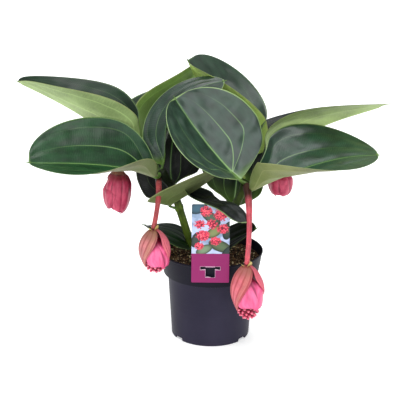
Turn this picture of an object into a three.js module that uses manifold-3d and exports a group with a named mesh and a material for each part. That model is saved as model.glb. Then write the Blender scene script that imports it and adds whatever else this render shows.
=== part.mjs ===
// Medinilla in a 17 cm nursery pot: two stems, fourteen broad leaves, four hanging flower buds.
// Millimetres, +Z up, origin at the centre of the pot's base. -Y is the side with the hang tag.

import * as THREE from "three";
import { mergeVertices } from "three/addons/utils/BufferGeometryUtils.js";
import Module from "manifold-3d";

const wasm = await Module();
wasm.setup();

// Driving dimensions

const GAP = 0.3; // clearance between neighbouring solids

const POT = {
  height: 147,
  rimRadius: 85,
  bandBottomRadius: 78.4,
  bandHeight: 38,
  shoulderRadius: 71.2,
  baseRadius: 64.4,
  wall: 1.8,
  padRadius: 42, // flat pad in the middle of the base, which stands on the floor
  channelHeight: 6, // the drainage channel between the pad and the foot ring
  channelSlope: 4, // how far its two sides lean in plan
  footWidth: 2.2,
  shoulderChamfer: 1.5,
  lipRadius: 0.9,
  drainHoles: 8,
  drainHoleRadius: 4.5,
  notchAngles: [-126, -54, 54, 126], // degrees round from +Y
  notchWidth: 17,
  notchHeight: 5,
  sides: 28,
};

const SOIL = {
  level: 134,
  clearance: 0.4, // to the pot's wall
  edgeDrop: 2,
  rings: [0.95, 0.75, 0.5, 0.24], // shares of the radius where the surface has its points
  sides: 20,
  lumpHeight: 1.4,
  lumpLength: 22, // from one lump to the next
  domeDrop: 2.5, // from the middle to the edge
};

const LABEL = {
  centreX: -2,
  width: 59.6,
  bottom: 122.2,
  top: 249.5,
  thickness: 0.8,
  cornerRadius: 1.6,
  lean: 5, // degrees that the sheet leans back towards the plant
  slotTop: 148.2,
  armBottom: 143,
  stemBottom: 131,
  armWidth: 31.5,
  stemWidth: 15,
  shoulderStep: 1.2, // from the arm's lower edge up to where the slot's stem starts
  waveHeight: 1.5, // of the slot's lower edge
  tongueDrop: 26, // length of the tongue inside the pot
  tongueGap: 1.2, // between the tongue and the pot's wall
  foldOverlap: 0.6, // how far the tongue's root sinks into the sheet
  tongueRoom: 8, // the hole for the tongue in the soil, front to back
  tongueRoomInset: 2, // from the wall to the middle of that hole
};

const STEM = {
  radius: 6.4,
  crownRadius: 9,
  depth: 34, // below the soil surface
  cornerRise: 0.16, // the four raised corners, as a share of the radius
  knuckleRise: 0.2, // the swelling at each node, likewise
  knuckleLength: 0.03, // as a share of the stem's length
  crownFrom: 0.86, // shares of the length between which the crown swells
  crownTo: 0.97,
  steps: 14,
  sides: 12,
};

// Places on the two stems where leaves and flower stalks grow.
const NODE = {
  leftFoot: [-29, 14, 138],
  leftLower: [-52, 1, 214],
  leftUpper: [-64, -6, 253],
  leftCrown: [-83, -12, 279],
  rightFoot: [-4, 12, 141],
  rightLower: [34, 1, 216],
  rightCrown: [55.5, -13, 262],
};

// A leaf's midrib starts at base. heading is its direction in plan, in degrees from +X towards +Y, and
// rise its angle above level, each at the base, the middle and the tip. left and right are how far the
// two halves of the blade lift from level beside the midrib, at the same three places. curl is the further
// bend of each half from midrib to margin, at the base and the tip. lobe is how far the blade reaches back
// behind its base, and widest is where along the midrib it is broadest.
const LEAVES = {
  leaf_a: {
    node: NODE.leftCrown,
    base: [-105, 13, 281],
    heading: [197, 170, 196],
    rise: [51, 31, 28],
    length: 251,
    halfWidth: 82,
    left: [84, 35, 23],
    right: [88, 23, 10],
    curl: [58, 1],
    lobe: -0.06,
    widest: 0.57,
    baseTaper: 1.15,
    tipTaper: 0.57,
  },
  leaf_b: {
    node: NODE.leftCrown,
    base: [-88, -35, 280],
    heading: [200, 197, 192],
    rise: [26, 9, 3],
    length: 207,
    halfWidth: 80,
    left: [24, -8, 11],
    right: [36, 38, 34],
    curl: [74, -8],
    lobe: 0,
    widest: 0.45,
    baseTaper: 0.89,
    tipTaper: 0.38,
  },
  leaf_c: {
    node: NODE.leftCrown,
    base: [-79, -7, 291],
    heading: [148, 39, 5],
    rise: [112, 48, 7],
    length: 193,
    halfWidth: 44,
    left: [-45, 6, 15],
    right: [-64, -89, -42],
    curl: [2, -5],
    lobe: -0.01,
    widest: 0.51,
    baseTaper: 0.41,
    tipTaper: 0.6,
  },
  leaf_d: {
    node: NODE.leftCrown,
    base: [-92, 24, 288],
    heading: [174, 40, 90],
    rise: [60, 24, 52],
    length: 227,
    halfWidth: 52,
    left: [22, 17, -9],
    right: [131, 69, 108],
    curl: [53, -4],
    lobe: -0.07,
    widest: 0.34,
    baseTaper: 0.69,
    tipTaper: 0.35,
  },
  leaf_e: {
    node: NODE.rightCrown,
    base: [44, -31, 275],
    heading: [153, 159, 157],
    rise: [37, 48, 53],
    length: 167,
    halfWidth: 90,
    left: [11, -6, -2],
    right: [45, 65, 74],
    curl: [14, 7],
    lobe: 0.03,
    widest: 0.43,
    baseTaper: 0.56,
    tipTaper: 0.44,
  },
  leaf_f: {
    node: NODE.rightCrown,
    base: [59, -42, 261],
    heading: [-35, -5, -3],
    rise: [32, 21, -2],
    length: 216,
    halfWidth: 89,
    left: [34, 15, 8],
    right: [24, -7, 1],
    curl: [94, -5],
    lobe: -0.06,
    widest: 0.47,
    baseTaper: 1.04,
    tipTaper: 0.52,
  },
  leaf_g: {
    node: NODE.rightCrown,
    base: [60, 0, 255],
    heading: [71, -8, 48],
    rise: [42, 30, 3],
    length: 273,
    halfWidth: 80,
    left: [57, 29, -8],
    right: [63, 53, 27],
    curl: [-32, -19],
    lobe: -0.03,
    widest: 0.36,
    baseTaper: 1.3,
    tipTaper: 0.43,
  },
  leaf_h: {
    node: NODE.rightCrown,
    base: [55, 20, 259],
    heading: [122, 135, 172],
    rise: [9, 60, 59],
    length: 237,
    halfWidth: 94,
    left: [113, 89, 11],
    right: [73, 44, 24],
    curl: [34, 1],
    lobe: 0.04,
    widest: 0.4,
    baseTaper: 0.73,
    tipTaper: 0.35,
  },
  leaf_i: {
    node: NODE.leftUpper,
    base: [-63, 1, 254],
    heading: [97, 90, 74],
    rise: [-6, 26, 56],
    length: 173,
    halfWidth: 59,
    left: [-41, -10, 14],
    right: [33, 14, 2],
    curl: [8, 3],
    lobe: 0.12,
    widest: 0.45,
    baseTaper: 0.55,
    tipTaper: 0.5,
  },
  leaf_k: {
    node: NODE.leftLower,
    base: [-69, -16, 226],
    heading: [-54, -2, 15],
    rise: [39, 34, 40],
    length: 108,
    halfWidth: 55,
    left: [13, -14, -7],
    right: [14, 33, 38],
    curl: [10, 4],
    lobe: 0.14,
    widest: 0.36,
    baseTaper: 0.53,
    tipTaper: 0.5,
  },
  leaf_l: {
    node: NODE.leftFoot,
    base: [-33, 12, 144],
    heading: [191, 187, 184],
    rise: [62, 24, 12],
    length: 92,
    halfWidth: 36,
    left: [-11, -16, 10],
    right: [22, 3, -24],
    curl: [2, 1],
    lobe: 0,
    widest: 0.45,
    baseTaper: 0.55,
    tipTaper: 0.5,
  },
  leaf_m: {
    node: NODE.leftUpper,
    base: [-44, -15, 255],
    heading: [-61, -30, -73],
    rise: [-36, 8, -69],
    length: 145,
    halfWidth: 38,
    left: [30, -30, -55],
    right: [48, 4, -22],
    curl: [6, -5],
    lobe: -0.05,
    widest: 0.34,
    baseTaper: 0.52,
    tipTaper: 0.35,
  },
  leaf_n: {
    node: NODE.rightFoot,
    base: [0, 9, 143],
    heading: [2, -3, -2],
    rise: [22, 29, 23],
    length: 83,
    halfWidth: 38,
    left: [26, 17, 25],
    right: [-12, -1, 7],
    curl: [1, 3],
    lobe: 0.05,
    widest: 0.45,
    baseTaper: 0.55,
    tipTaper: 0.49,
  },
  leaf_o: {
    node: NODE.rightLower,
    base: [35, 12, 215],
    heading: [85, 84, 92],
    rise: [9, 34, 47],
    length: 162,
    halfWidth: 66,
    left: [39, 20, 7],
    right: [8, 40, 32],
    curl: [18, 7],
    lobe: 0.09,
    widest: 0.41,
    baseTaper: 0.49,
    tipTaper: 0.5,
  },
};

// The order in which leaves claim their room: a later leaf gives way where two blades meet.
const LEAF_ORDER = ["e", "b", "f", "k", "a", "g", "c", "h", "d", "m", "i", "o", "l", "n"];

const LEAF = {
  thickness: 0.9,
  rows: 9,
  columns: 6,
  roundness: 2.2, // power of the outline's two arcs
  lobeShare: 0.3, // share of the midrib along which the base lobes reach back
  baseHalfWidth: 4.5,
  tipHalfWidth: 2.4,
  tipPoint: 6, // the narrow drip tip past the blade
  tipPointHalfWidth: 0.7,
};

// Flower stalks: points from the crown to the bud, and the radius at the crown and at the bud.
const PEDUNCLE_TAPER = 0.62; // share of the length over which the radius falls
const PEDUNCLES = {
  peduncle_1: {
    points: [[-88, -8, 272], [-108, 4, 288], [-134, 12, 295], [-149, 12, 287], [-152, 12, 277]],
    radius: [4.6, 3.6],
  },
  peduncle_2: {
    points: [[-86, -22, 273], [-84.5, -42, 266], [-85, -58, 248], [-88.5, -69, 224], [-92, -72, 206]],
    radius: [4.8, 3.7],
  },
  peduncle_3: {
    points: [[55.5, -24, 262], [56.5, -58, 257], [57, -92, 243], [57, -112, 222], [56, -116, 192],
      [54, -116, 164]],
    radius: [6.6, 3.7],
  },
  peduncle_4: {
    points: [[62, -4, 256], [76, 18, 272], [94, 42, 282], [108, 54, 279], [112, 55, 268]],
    radius: [4.6, 3.6],
  },
};

// Buds: the axis runs from top to bottom. Each bract is [the way it faces in plan (degrees from +X towards
// +Y), how far it spreads to both sides of that, the share of the bud's length that it reaches down, its
// bluntness]. Bluntness is the power of the bract's outline: the lower it is, the longer the bract stays
// broad towards its tip. The small flower buds inside end at floretEnd, a share of the length as well.
const BUDS = {
  1: {
    top: [-152, 12, 276],
    bottom: [-155, 12, 207],
    radius: 21.5,
    outer: [[200, 62, 0.2, 0.4], [320, 62, 0.18, 0.4], [80, 62, 0.2, 0.4]],
    inner: [[200, 74, 0.96, 0.3], [320, 74, 0.97, 0.3], [80, 74, 0.96, 0.3]],
    floretSize: 3.4,
    floretEnd: 0.76,
  },
  2: {
    top: [-92, -72, 205],
    bottom: [-88, -74, 135],
    radius: 25,
    outer: [[196, 92, 0.84, 0.6], [-6, 58, 0.7, 0.65], [92, 52, 0.84, 0.7]],
    inner: [[290, 92, 0.84, 0.3], [50, 70, 0.8, 0.4], [168, 62, 0.78, 0.4]],
    floretSize: 3.4,
    floretEnd: 1,
  },
  3: {
    top: [54, -116, 163],
    bottom: [58.5, -117, 76],
    radius: 26,
    outer: [[200, 98, 0.84, 0.6], [-8, 54, 0.68, 0.65], [98, 52, 0.84, 0.7]],
    inner: [[292, 94, 0.82, 0.3], [50, 70, 0.78, 0.4], [166, 62, 0.78, 0.4]],
    floretSize: 3.8,
    floretEnd: 1,
  },
  4: {
    top: [112, 55, 267],
    bottom: [116, 55, 224],
    radius: 20.5,
    outer: [[200, 60, 0.22, 0.4], [320, 60, 0.2, 0.4], [80, 60, 0.22, 0.4]],
    inner: [[210, 74, 0.96, 0.3], [330, 74, 0.97, 0.3], [90, 74, 0.96, 0.3]],
    floretSize: 2.8,
    floretEnd: 0.72,
  },
};

const BUD = {
  bractThickness: 1,
  bractRows: 5,
  bractColumns: 4,
  bractStart: 0.6, // below the top of the cap that the bracts grow from
  bractFlare: 0.03, // how far its margins stand off, as a share of the radius
  bractTipShare: 0.05, // width of the blunt tip against the full width
  overlapStep: 0.35, // each inner bract lies this far inside the one before
  roomAngle: 4, // degrees by which a bract's keep-out copy is wider
  neckRadius: 5.4,
  capRadius: 6.2,
  capLength: 4,
  innerNeckRadius: 3.6,
  innerCapRadius: 4.4,
  innerShare: 0.84, // radius of the inner bracts against long outer ones
  bareShare: 0.97, // the same where the outer bracts are short
  longReach: 0.5, // outer bracts that reach further than this are long
  coreShare: 0.62,
  coreNeckRadius: 2,
  coreEnd: 0.94,
  floretRings: [[0.83, 5], [0.93, 4], [1.0, 1]], // place along the bud and number of florets
};

// Materials

function material(color, roughness) {
  return new THREE.MeshStandardMaterial({ color, roughness, metalness: 0, side: THREE.DoubleSide });
}

const MATERIALS = {
  pot: material(0x35343b, 0.55),
  soil: material(0x33261d, 0.95),
  label: material(0xa33a78, 0.35),
  stem: material(0x5f7d3a, 0.6),
  leaf: material(0x24502f, 0.35),
  peduncle: material(0xb8474f, 0.5),
  outerBract: material(0xc08070, 0.6),
  innerBract: material(0xd9497f, 0.5),
  floret: material(0xc23a68, 0.5),
};

// Solid helpers

const radians = THREE.MathUtils.degToRad;

function vector(list) {
  return new THREE.Vector3(...list);
}

function solidFromIndexed(points, triangles) {
  const vertProperties = new Float32Array(points.flatMap((p) => [p.x, p.y, p.z]));
  const triVerts = new Uint32Array(triangles.flat());
  return new wasm.Manifold(new wasm.Mesh({ numProp: 3, vertProperties, triVerts }));
}

function solidFromGeometry(geometry) {
  geometry.deleteAttribute("normal");
  geometry.deleteAttribute("uv");
  const merged = mergeVertices(geometry, 1e-3);
  const vertProperties = new Float32Array(merged.attributes.position.array);
  const triVerts = new Uint32Array(merged.index.array);
  return new wasm.Manifold(new wasm.Mesh({ numProp: 3, vertProperties, triVerts }));
}

function largestBody(solid) {
  const bodies = solid.decompose();
  bodies.sort((a, b) => b.volume() - a.volume());
  return bodies[0];
}

function union(solids) {
  return wasm.Manifold.union(solids);
}

const group = new THREE.Group();

function addNode(name, solid, nodeMaterial) {
  const mesh = solid.getMesh();
  const geometry = new THREE.BufferGeometry();
  geometry.setAttribute("position", new THREE.BufferAttribute(new Float32Array(mesh.vertProperties), 3));
  geometry.setIndex(new THREE.BufferAttribute(new Uint32Array(mesh.triVerts), 1));
  geometry.computeVertexNormals();
  const node = new THREE.Mesh(geometry, nodeMaterial);
  node.name = name;
  group.add(node);
}

// A closed sheet over a grid of points, thick half to each side, with the same triangles on both faces.
function sheet(rows, thickness) {
  const rowCount = rows.length;
  const columnCount = rows[0].length;
  const within = (value, count) => Math.min(Math.max(value, 0), count - 1);
  const at = (i, j) => rows[within(i, rowCount)][within(j, columnCount)];
  const upper = [];
  const lower = [];
  for (let i = 0; i < rowCount; i += 1) {
    for (let j = 0; j < columnCount; j += 1) {
      const across = at(i, j + 1).clone().sub(at(i, j - 1));
      const along = at(i + 1, j).clone().sub(at(i - 1, j));
      const half = across.cross(along).normalize().multiplyScalar(thickness / 2);
      upper.push(at(i, j).clone().add(half));
      lower.push(at(i, j).clone().sub(half));
    }
  }
  const index = (i, j) => i * columnCount + j;
  const count = rowCount * columnCount;
  const triangles = [];
  for (let i = 0; i < rowCount - 1; i += 1) {
    for (let j = 0; j < columnCount - 1; j += 1) {
      const [a, b, c, d] = [index(i, j), index(i, j + 1), index(i + 1, j + 1), index(i + 1, j)];
      triangles.push([a, b, c], [a, c, d]);
      triangles.push([a + count, c + count, b + count], [a + count, d + count, c + count]);
    }
  }
  const rim = [];
  for (let j = 0; j < columnCount - 1; j += 1) {
    rim.push(index(0, j));
  }
  for (let i = 0; i < rowCount - 1; i += 1) {
    rim.push(index(i, columnCount - 1));
  }
  for (let j = columnCount - 1; j > 0; j -= 1) {
    rim.push(index(rowCount - 1, j));
  }
  for (let i = rowCount - 1; i > 0; i -= 1) {
    rim.push(index(i, 0));
  }
  rim.forEach((p, k) => {
    const q = rim[(k + 1) % rim.length];
    triangles.push([q, p, p + count], [q, p + count, q + count]);
  });
  return solidFromIndexed([...upper, ...lower], triangles);
}

// A solid of revolution from a profile that starts and ends on the axis. lift(x, y, k) raises point k.
function turned(profile, sides, lift = () => 0) {
  const points = [];
  const rings = profile.map(([radius, z], k) => {
    const size = radius === 0 ? 1 : sides;
    const ring = [];
    for (let j = 0; j < size; j += 1) {
      const angle = (2 * Math.PI * j) / sides;
      const x = radius * Math.cos(angle);
      const y = radius * Math.sin(angle);
      ring.push(points.push(new THREE.Vector3(x, y, z + lift(x, y, k))) - 1);
    }
    return ring;
  });
  const triangles = [];
  const around = (ring, j) => ring[j % ring.length];
  for (let i = 0; i < rings.length - 1; i += 1) {
    for (let j = 0; j < sides; j += 1) {
      const [a, b] = [around(rings[i], j), around(rings[i], j + 1)];
      const [d, c] = [around(rings[i + 1], j), around(rings[i + 1], j + 1)];
      if (a !== b) {
        triangles.push([a, b, c]);
      }
      if (c !== d) {
        triangles.push([a, c, d]);
      }
    }
  }
  return solidFromIndexed(points, triangles);
}

// A rod along a smooth curve. section(t, angle) is its radius at a share t of the curve.
function rod(points, steps, sides, section) {
  const curve = new THREE.CatmullRomCurve3(points.map(vector));
  const rings = [];
  const vertices = [];
  for (let i = 0; i <= steps; i += 1) {
    const t = i / steps;
    const centre = curve.getPointAt(t);
    const tangent = curve.getTangentAt(t);
    const side = new THREE.Vector3(0, 1, 0).cross(tangent).normalize();
    const front = tangent.clone().cross(side);
    const ring = [];
    for (let j = 0; j < sides; j += 1) {
      const angle = (2 * Math.PI * j) / sides;
      const reach = section(t, angle);
      const point = centre.clone();
      point.addScaledVector(side, reach * Math.cos(angle));
      point.addScaledVector(front, reach * Math.sin(angle));
      ring.push(vertices.push(point) - 1);
    }
    rings.push(ring);
  }
  const triangles = [];
  for (let i = 0; i < steps; i += 1) {
    for (let j = 0; j < sides; j += 1) {
      const [a, b] = [rings[i][j], rings[i][(j + 1) % sides]];
      const [d, c] = [rings[i + 1][j], rings[i + 1][(j + 1) % sides]];
      triangles.push([a, b, c], [a, c, d]);
    }
  }
  for (let j = 1; j < sides - 1; j += 1) {
    triangles.push([rings[0][0], rings[0][j + 1], rings[0][j]]);
    triangles.push([rings[steps][0], rings[steps][j], rings[steps][j + 1]]);
  }
  return solidFromIndexed(vertices, triangles);
}

// Pot: one moulding with a stepped rim band, a foot ring with notches and a raised drainage channel

// How much nearer the pot's middle the floor's upper face turns up than its lower face.
const CHANNEL_INSET = 1;

function innerWallRadius(z) {
  const bandBottom = POT.height - POT.bandHeight;
  const share = (z - bandBottom) / POT.bandHeight;
  return THREE.MathUtils.lerp(POT.bandBottomRadius, POT.rimRadius, share) - POT.wall;
}

function pot() {
  const { height, wall } = POT;
  const bandBottom = height - POT.bandHeight;
  const profile = [
    [0, 0],
    [POT.padRadius, 0],
    [POT.padRadius + POT.channelSlope, POT.channelHeight],
    [POT.baseRadius - POT.channelSlope, POT.channelHeight],
    [POT.baseRadius - POT.footWidth, 0],
    [POT.baseRadius, 0],
    [POT.shoulderRadius, bandBottom - POT.shoulderChamfer],
    [POT.bandBottomRadius, bandBottom],
    [POT.rimRadius, height - POT.lipRadius],
    [POT.rimRadius - POT.lipRadius, height],
    [POT.rimRadius - wall, height],
    [innerWallRadius(bandBottom + wall), bandBottom + wall],
    [POT.shoulderRadius - wall, bandBottom],
    [POT.baseRadius - wall, POT.channelHeight + wall],
    [POT.padRadius + POT.channelSlope - CHANNEL_INSET, POT.channelHeight + wall],
    [POT.padRadius - CHANNEL_INSET, wall],
    [0, wall],
  ];
  const cutters = [];
  const notchDepth = 5 * POT.wall;
  const notch = new THREE.BoxGeometry(POT.notchWidth, notchDepth, 2 * POT.notchHeight);
  notch.translate(0, POT.baseRadius, 0);
  for (const angle of POT.notchAngles) {
    cutters.push(solidFromGeometry(notch.clone().rotateZ(radians(angle))));
  }
  const channelMiddle = (POT.padRadius + POT.baseRadius) / 2;
  const holeSides = 6;
  const through = 4 * POT.channelHeight;
  const hole = new THREE.CylinderGeometry(POT.drainHoleRadius, POT.drainHoleRadius, through, holeSides);
  hole.rotateX(Math.PI / 2);
  hole.translate(channelMiddle, 0, 0);
  for (let k = 0; k < POT.drainHoles; k += 1) {
    const angle = (2 * Math.PI * (k + 0.5)) / POT.drainHoles;
    cutters.push(solidFromGeometry(hole.clone().rotateZ(angle)));
  }
  return turned(profile, POT.sides).subtract(union(cutters));
}

// Stems: square with four raised corners, thicker at each node and at the crown

const STEMS = {
  stem_left: {
    points: [[-22, 18, SOIL.level - STEM.depth], NODE.leftFoot, [-40, 8, 172], NODE.leftLower,
      NODE.leftUpper, [-75, -10, 270], [-84, -12.5, 284]],
    knuckles: [0.62, 0.83],
  },
  stem_right: {
    points: [[-10, 14, SOIL.level - STEM.depth], NODE.rightFoot, [14, 6, 181], NODE.rightLower,
      [47, -7, 243], [56, -13.5, 267]],
    knuckles: [0.64],
  },
};

function stem({ points, knuckles }, grow = 0) {
  const section = (t, angle) => {
    const corner = 1 + STEM.cornerRise * Math.cos(4 * angle - Math.PI);
    const near = (at) => Math.exp(-(((t - at) / STEM.knuckleLength) ** 2));
    const knuckle = knuckles.reduce((sum, at) => sum + near(at), 0);
    const crown = THREE.MathUtils.smoothstep(t, STEM.crownFrom, STEM.crownTo);
    const reach = STEM.radius * corner * (1 + STEM.knuckleRise * knuckle);
    return reach + crown * (STEM.crownRadius - STEM.radius) + grow;
  };
  return rod(points, STEM.steps, STEM.sides, section);
}

// Leaves

function throughThree([start, middle, end], u) {
  return start * (1 - u) * (1 - 2 * u) + 4 * middle * u * (1 - u) + end * u * (2 * u - 1);
}

function bladeWidth(leaf, u) {
  const before = Math.max((leaf.widest - u) / leaf.widest, 0);
  const after = Math.max((u - leaf.widest) / (1 - leaf.widest), 0);
  if (u < leaf.widest) {
    const share = (1 - before ** LEAF.roundness) ** leaf.baseTaper;
    return Math.max(leaf.halfWidth * share, LEAF.baseHalfWidth);
  }
  const share = (1 - after ** LEAF.roundness) ** leaf.tipTaper;
  return Math.max(leaf.halfWidth * share, LEAF.tipHalfWidth);
}

function midribDirection(leaf, u) {
  const heading = radians(throughThree(leaf.heading, u));
  const rise = radians(throughThree(leaf.rise, u));
  const flat = Math.cos(rise);
  return new THREE.Vector3(flat * Math.cos(heading), flat * Math.sin(heading), Math.sin(rise));
}

function midribPoint(leaf, u) {
  const point = vector(leaf.base);
  const steps = 40;
  for (let k = 0; k < steps; k += 1) {
    point.addScaledVector(midribDirection(leaf, (u * (k + 0.5)) / steps), (leaf.length * u) / steps);
  }
  return point;
}

// The blade's point at a share u of the midrib and s across, from -1 at the left margin to 1 at the right.
function bladePoint(leaf, u, s, halfWidth) {
  const along = midribDirection(leaf, u);
  const heading = radians(throughThree(leaf.heading, u));
  const right = new THREE.Vector3(Math.sin(heading), -Math.cos(heading), 0);
  const up = right.clone().cross(along);
  const lift = radians(throughThree(s < 0 ? leaf.left : leaf.right, u));
  const bend = radians(THREE.MathUtils.lerp(leaf.curl[0], leaf.curl[1], u));
  const reach = Math.abs(s);
  const out = (halfWidth * (Math.sin(lift + bend * reach) - Math.sin(lift))) / bend;
  const raise = (halfWidth * (Math.cos(lift) - Math.cos(lift + bend * reach))) / bend;
  const swing = Math.sin(Math.PI * Math.min(u / LEAF.lobeShare, 1));
  const back = leaf.lobe * leaf.length * swing ** 2 * reach;
  const point = midribPoint(leaf, u);
  point.addScaledVector(right, Math.sign(s) * out);
  point.addScaledVector(up, raise);
  return point.addScaledVector(along, -back);
}

// Rows of points from the node on the stem, over the blade, to the drip tip. margin widens it all round.
function leafRows(leaf, margin = 0) {
  const across = [];
  for (let j = 0; j <= LEAF.columns; j += 1) {
    across.push((2 * j) / LEAF.columns - 1);
  }
  const rows = [];
  for (let i = 0; i <= LEAF.rows; i += 1) {
    const t = i / LEAF.rows;
    const eased = 0.5 * (1 - Math.cos(Math.PI * t));
    const u = (t + eased) / 2; // rows lie closer together at both ends
    rows.push(across.map((s) => bladePoint(leaf, u, s, bladeWidth(leaf, u) + margin)));
  }
  const toNode = vector(leaf.node).sub(vector(leaf.base));
  rows.unshift(rows[0].map((point) => point.clone().add(toNode)));
  const tipRow = across.map((s) => bladePoint(leaf, 1, s, LEAF.tipPointHalfWidth + margin));
  const forward = midribDirection(leaf, 1).multiplyScalar(LEAF.tipPoint + margin);
  rows.push(tipRow.map((point) => point.add(forward)));
  return rows;
}

// Hang tag: a printed sheet with a T slot, whose tongue folds back over the rim and down inside

function roundedSheet(left, right, bottom, top, radius) {
  const outline = new THREE.Shape();
  outline.moveTo(left + radius, bottom);
  outline.lineTo(right - radius, bottom);
  outline.absarc(right - radius, bottom + radius, radius, -Math.PI / 2, 0);
  outline.lineTo(right, top - radius);
  outline.absarc(right - radius, top - radius, radius, 0, Math.PI / 2);
  outline.lineTo(left + radius, top);
  outline.absarc(left + radius, top - radius, radius, Math.PI / 2, Math.PI);
  outline.lineTo(left, bottom + radius);
  outline.absarc(left + radius, bottom + radius, radius, Math.PI, 1.5 * Math.PI);
  return outline;
}

function labelSlot() {
  const middle = LABEL.centreX;
  const arm = LABEL.armWidth / 2;
  const half = LABEL.stemWidth / 2;
  const slot = new THREE.Path();
  slot.moveTo(middle - arm, LABEL.slotTop);
  slot.lineTo(middle - arm, LABEL.armBottom);
  slot.lineTo(middle - half, LABEL.armBottom + LABEL.shoulderStep);
  slot.lineTo(middle - half, LABEL.stemBottom);
  const hump = LABEL.stemBottom + LABEL.waveHeight;
  slot.quadraticCurveTo(middle - half / 2, hump, middle, LABEL.stemBottom);
  const dip = LABEL.stemBottom - LABEL.waveHeight;
  slot.quadraticCurveTo(middle + half / 2, dip, middle + half, LABEL.stemBottom);
  slot.lineTo(middle + half, LABEL.armBottom + LABEL.shoulderStep);
  slot.lineTo(middle + arm, LABEL.armBottom);
  slot.lineTo(middle + arm, LABEL.slotTop);
  return slot;
}

// The sheet's inner face touches the rim at the rim's height and leans from there.
const LABEL_FACE_Y = -(POT.rimRadius + GAP);

function standLabel(geometry) {
  geometry.rotateX(Math.PI / 2);
  geometry.translate(0, LABEL_FACE_Y, -POT.height);
  geometry.rotateX(radians(-LABEL.lean));
  const drop = LABEL_FACE_Y * (Math.cos(radians(LABEL.lean)) - 1);
  const rise = LABEL_FACE_Y * Math.sin(radians(-LABEL.lean));
  return geometry.translate(0, -drop, POT.height - rise);
}

function label() {
  const left = LABEL.centreX - LABEL.width / 2;
  const right = LABEL.centreX + LABEL.width / 2;
  const outline = roundedSheet(left, right, LABEL.bottom, LABEL.top, LABEL.cornerRadius);
  outline.holes.push(labelSlot());
  const options = { depth: LABEL.thickness, bevelEnabled: false, curveSegments: 3 };
  const face = standLabel(new THREE.ExtrudeGeometry(outline, options));
  const outside = LABEL_FACE_Y - LABEL.foldOverlap;
  const over = POT.height + GAP;
  const inside = -innerWallRadius(POT.height) + LABEL.tongueGap;
  const tipZ = POT.height - LABEL.tongueDrop;
  const tipY = -innerWallRadius(tipZ) + LABEL.tongueGap;
  const thick = LABEL.thickness;
  const fold = new THREE.Shape();
  fold.moveTo(outside, over);
  fold.lineTo(inside, over);
  fold.lineTo(tipY, tipZ);
  fold.lineTo(tipY + thick, tipZ);
  fold.lineTo(inside + thick, over + thick);
  fold.lineTo(outside, over + thick + LABEL.foldOverlap);
  const tongue = new THREE.ExtrudeGeometry(fold, { depth: LABEL.stemWidth, bevelEnabled: false });
  tongue.rotateX(Math.PI / 2);
  tongue.rotateZ(Math.PI / 2);
  tongue.translate(LABEL.centreX - LABEL.stemWidth / 2, 0, 0);
  return { face: solidFromGeometry(face), tongue: solidFromGeometry(tongue) };
}

// Soil: fills the pot up to its level, with plain holes for the stems and the label's tongue

function soil(cutters) {
  const top = SOIL.level;
  const floor = POT.wall + GAP;
  const channelTop = POT.channelHeight + floor;
  const bandFloor = POT.height - POT.bandHeight + floor;
  const padEdge = POT.padRadius - CHANNEL_INSET - SOIL.clearance;
  const edge = innerWallRadius(top - 2 * SOIL.edgeDrop) - SOIL.clearance;
  const profile = [
    [0, floor],
    [padEdge, floor],
    [padEdge + POT.channelSlope, channelTop],
    [POT.baseRadius - POT.wall - SOIL.clearance, channelTop],
    [POT.shoulderRadius - POT.wall - SOIL.clearance, POT.height - POT.bandHeight + GAP],
    [innerWallRadius(bandFloor - GAP) - SOIL.clearance, bandFloor],
    [edge, top - SOIL.edgeDrop],
    ...SOIL.rings.map((share) => [edge * share, top]),
    [0, top],
  ];
  const firstTop = profile.length - SOIL.rings.length - 1;
  const turn = (2 * Math.PI) / SOIL.lumpLength;
  const lumps = (x, y, k) => {
    if (k < firstTop) {
      return 0;
    }
    const broad = Math.sin(turn * x + 1.3) * Math.cos(turn * y - 0.6);
    const fine = 0.6 * Math.sin(turn * (1.9 * x - 1.6 * y));
    return SOIL.lumpHeight * (broad + fine) - (SOIL.domeDrop * (x * x + y * y)) / edge ** 2;
  };
  return turned(profile, SOIL.sides, lumps).subtract(union(cutters));
}

// Flower buds

function budFrame(bud) {
  const top = vector(bud.top);
  const axis = vector(bud.bottom).sub(top);
  const length = axis.length();
  axis.normalize();
  const side = new THREE.Vector3(1, 0, 0).addScaledVector(axis, -axis.x).normalize();
  const away = side.clone().cross(axis);
  return { top, axis, length, side, away };
}

// The bud's radius at a share t of its length, against its widest: fullest a little above the middle.
function budSwell(t) {
  const turn = Math.PI * Math.min(t, 1) ** 0.9;
  return Math.max(Math.sin(turn), 0) ** 0.75;
}

// One bract: a pointed blade that wraps part of the bud's round form.
function bract(frame, { start, length, radius, neck }, [facing, spread, reach, bluntness], room) {
  const extra = room > 0 ? BUD.roomAngle : 0;
  const rows = [];
  for (let i = 0; i <= BUD.bractRows; i += 1) {
    const t = ((reach + room / length) * i) / BUD.bractRows;
    const distance = neck + (radius - neck) * budSwell(t);
    const taper = Math.max((1 - (i / BUD.bractRows) ** 1.9) ** bluntness, BUD.bractTipShare);
    const row = [];
    for (let j = 0; j <= BUD.bractColumns; j += 1) {
      const s = (2 * j) / BUD.bractColumns - 1;
      const angle = radians(facing + s * (spread * taper + extra));
      const flare = 1 + BUD.bractFlare * t * s * s;
      const point = frame.top.clone().addScaledVector(frame.axis, start + t * length);
      point.addScaledVector(frame.side, flare * distance * Math.cos(angle));
      row.push(point.addScaledVector(frame.away, flare * distance * Math.sin(angle)));
    }
    rows.push(row);
  }
  return sheet(rows, BUD.bractThickness + 2 * room);
}

function roundCap(frame, start, radius) {
  const shares = [0, 0.5, 1];
  const place = (t) => frame.top.clone().addScaledVector(frame.axis, start + t * BUD.capLength);
  const points = shares.map(place);
  const sides = 8;
  return rod(points.map((point) => point.toArray()), 1, sides, () => radius);
}

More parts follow.
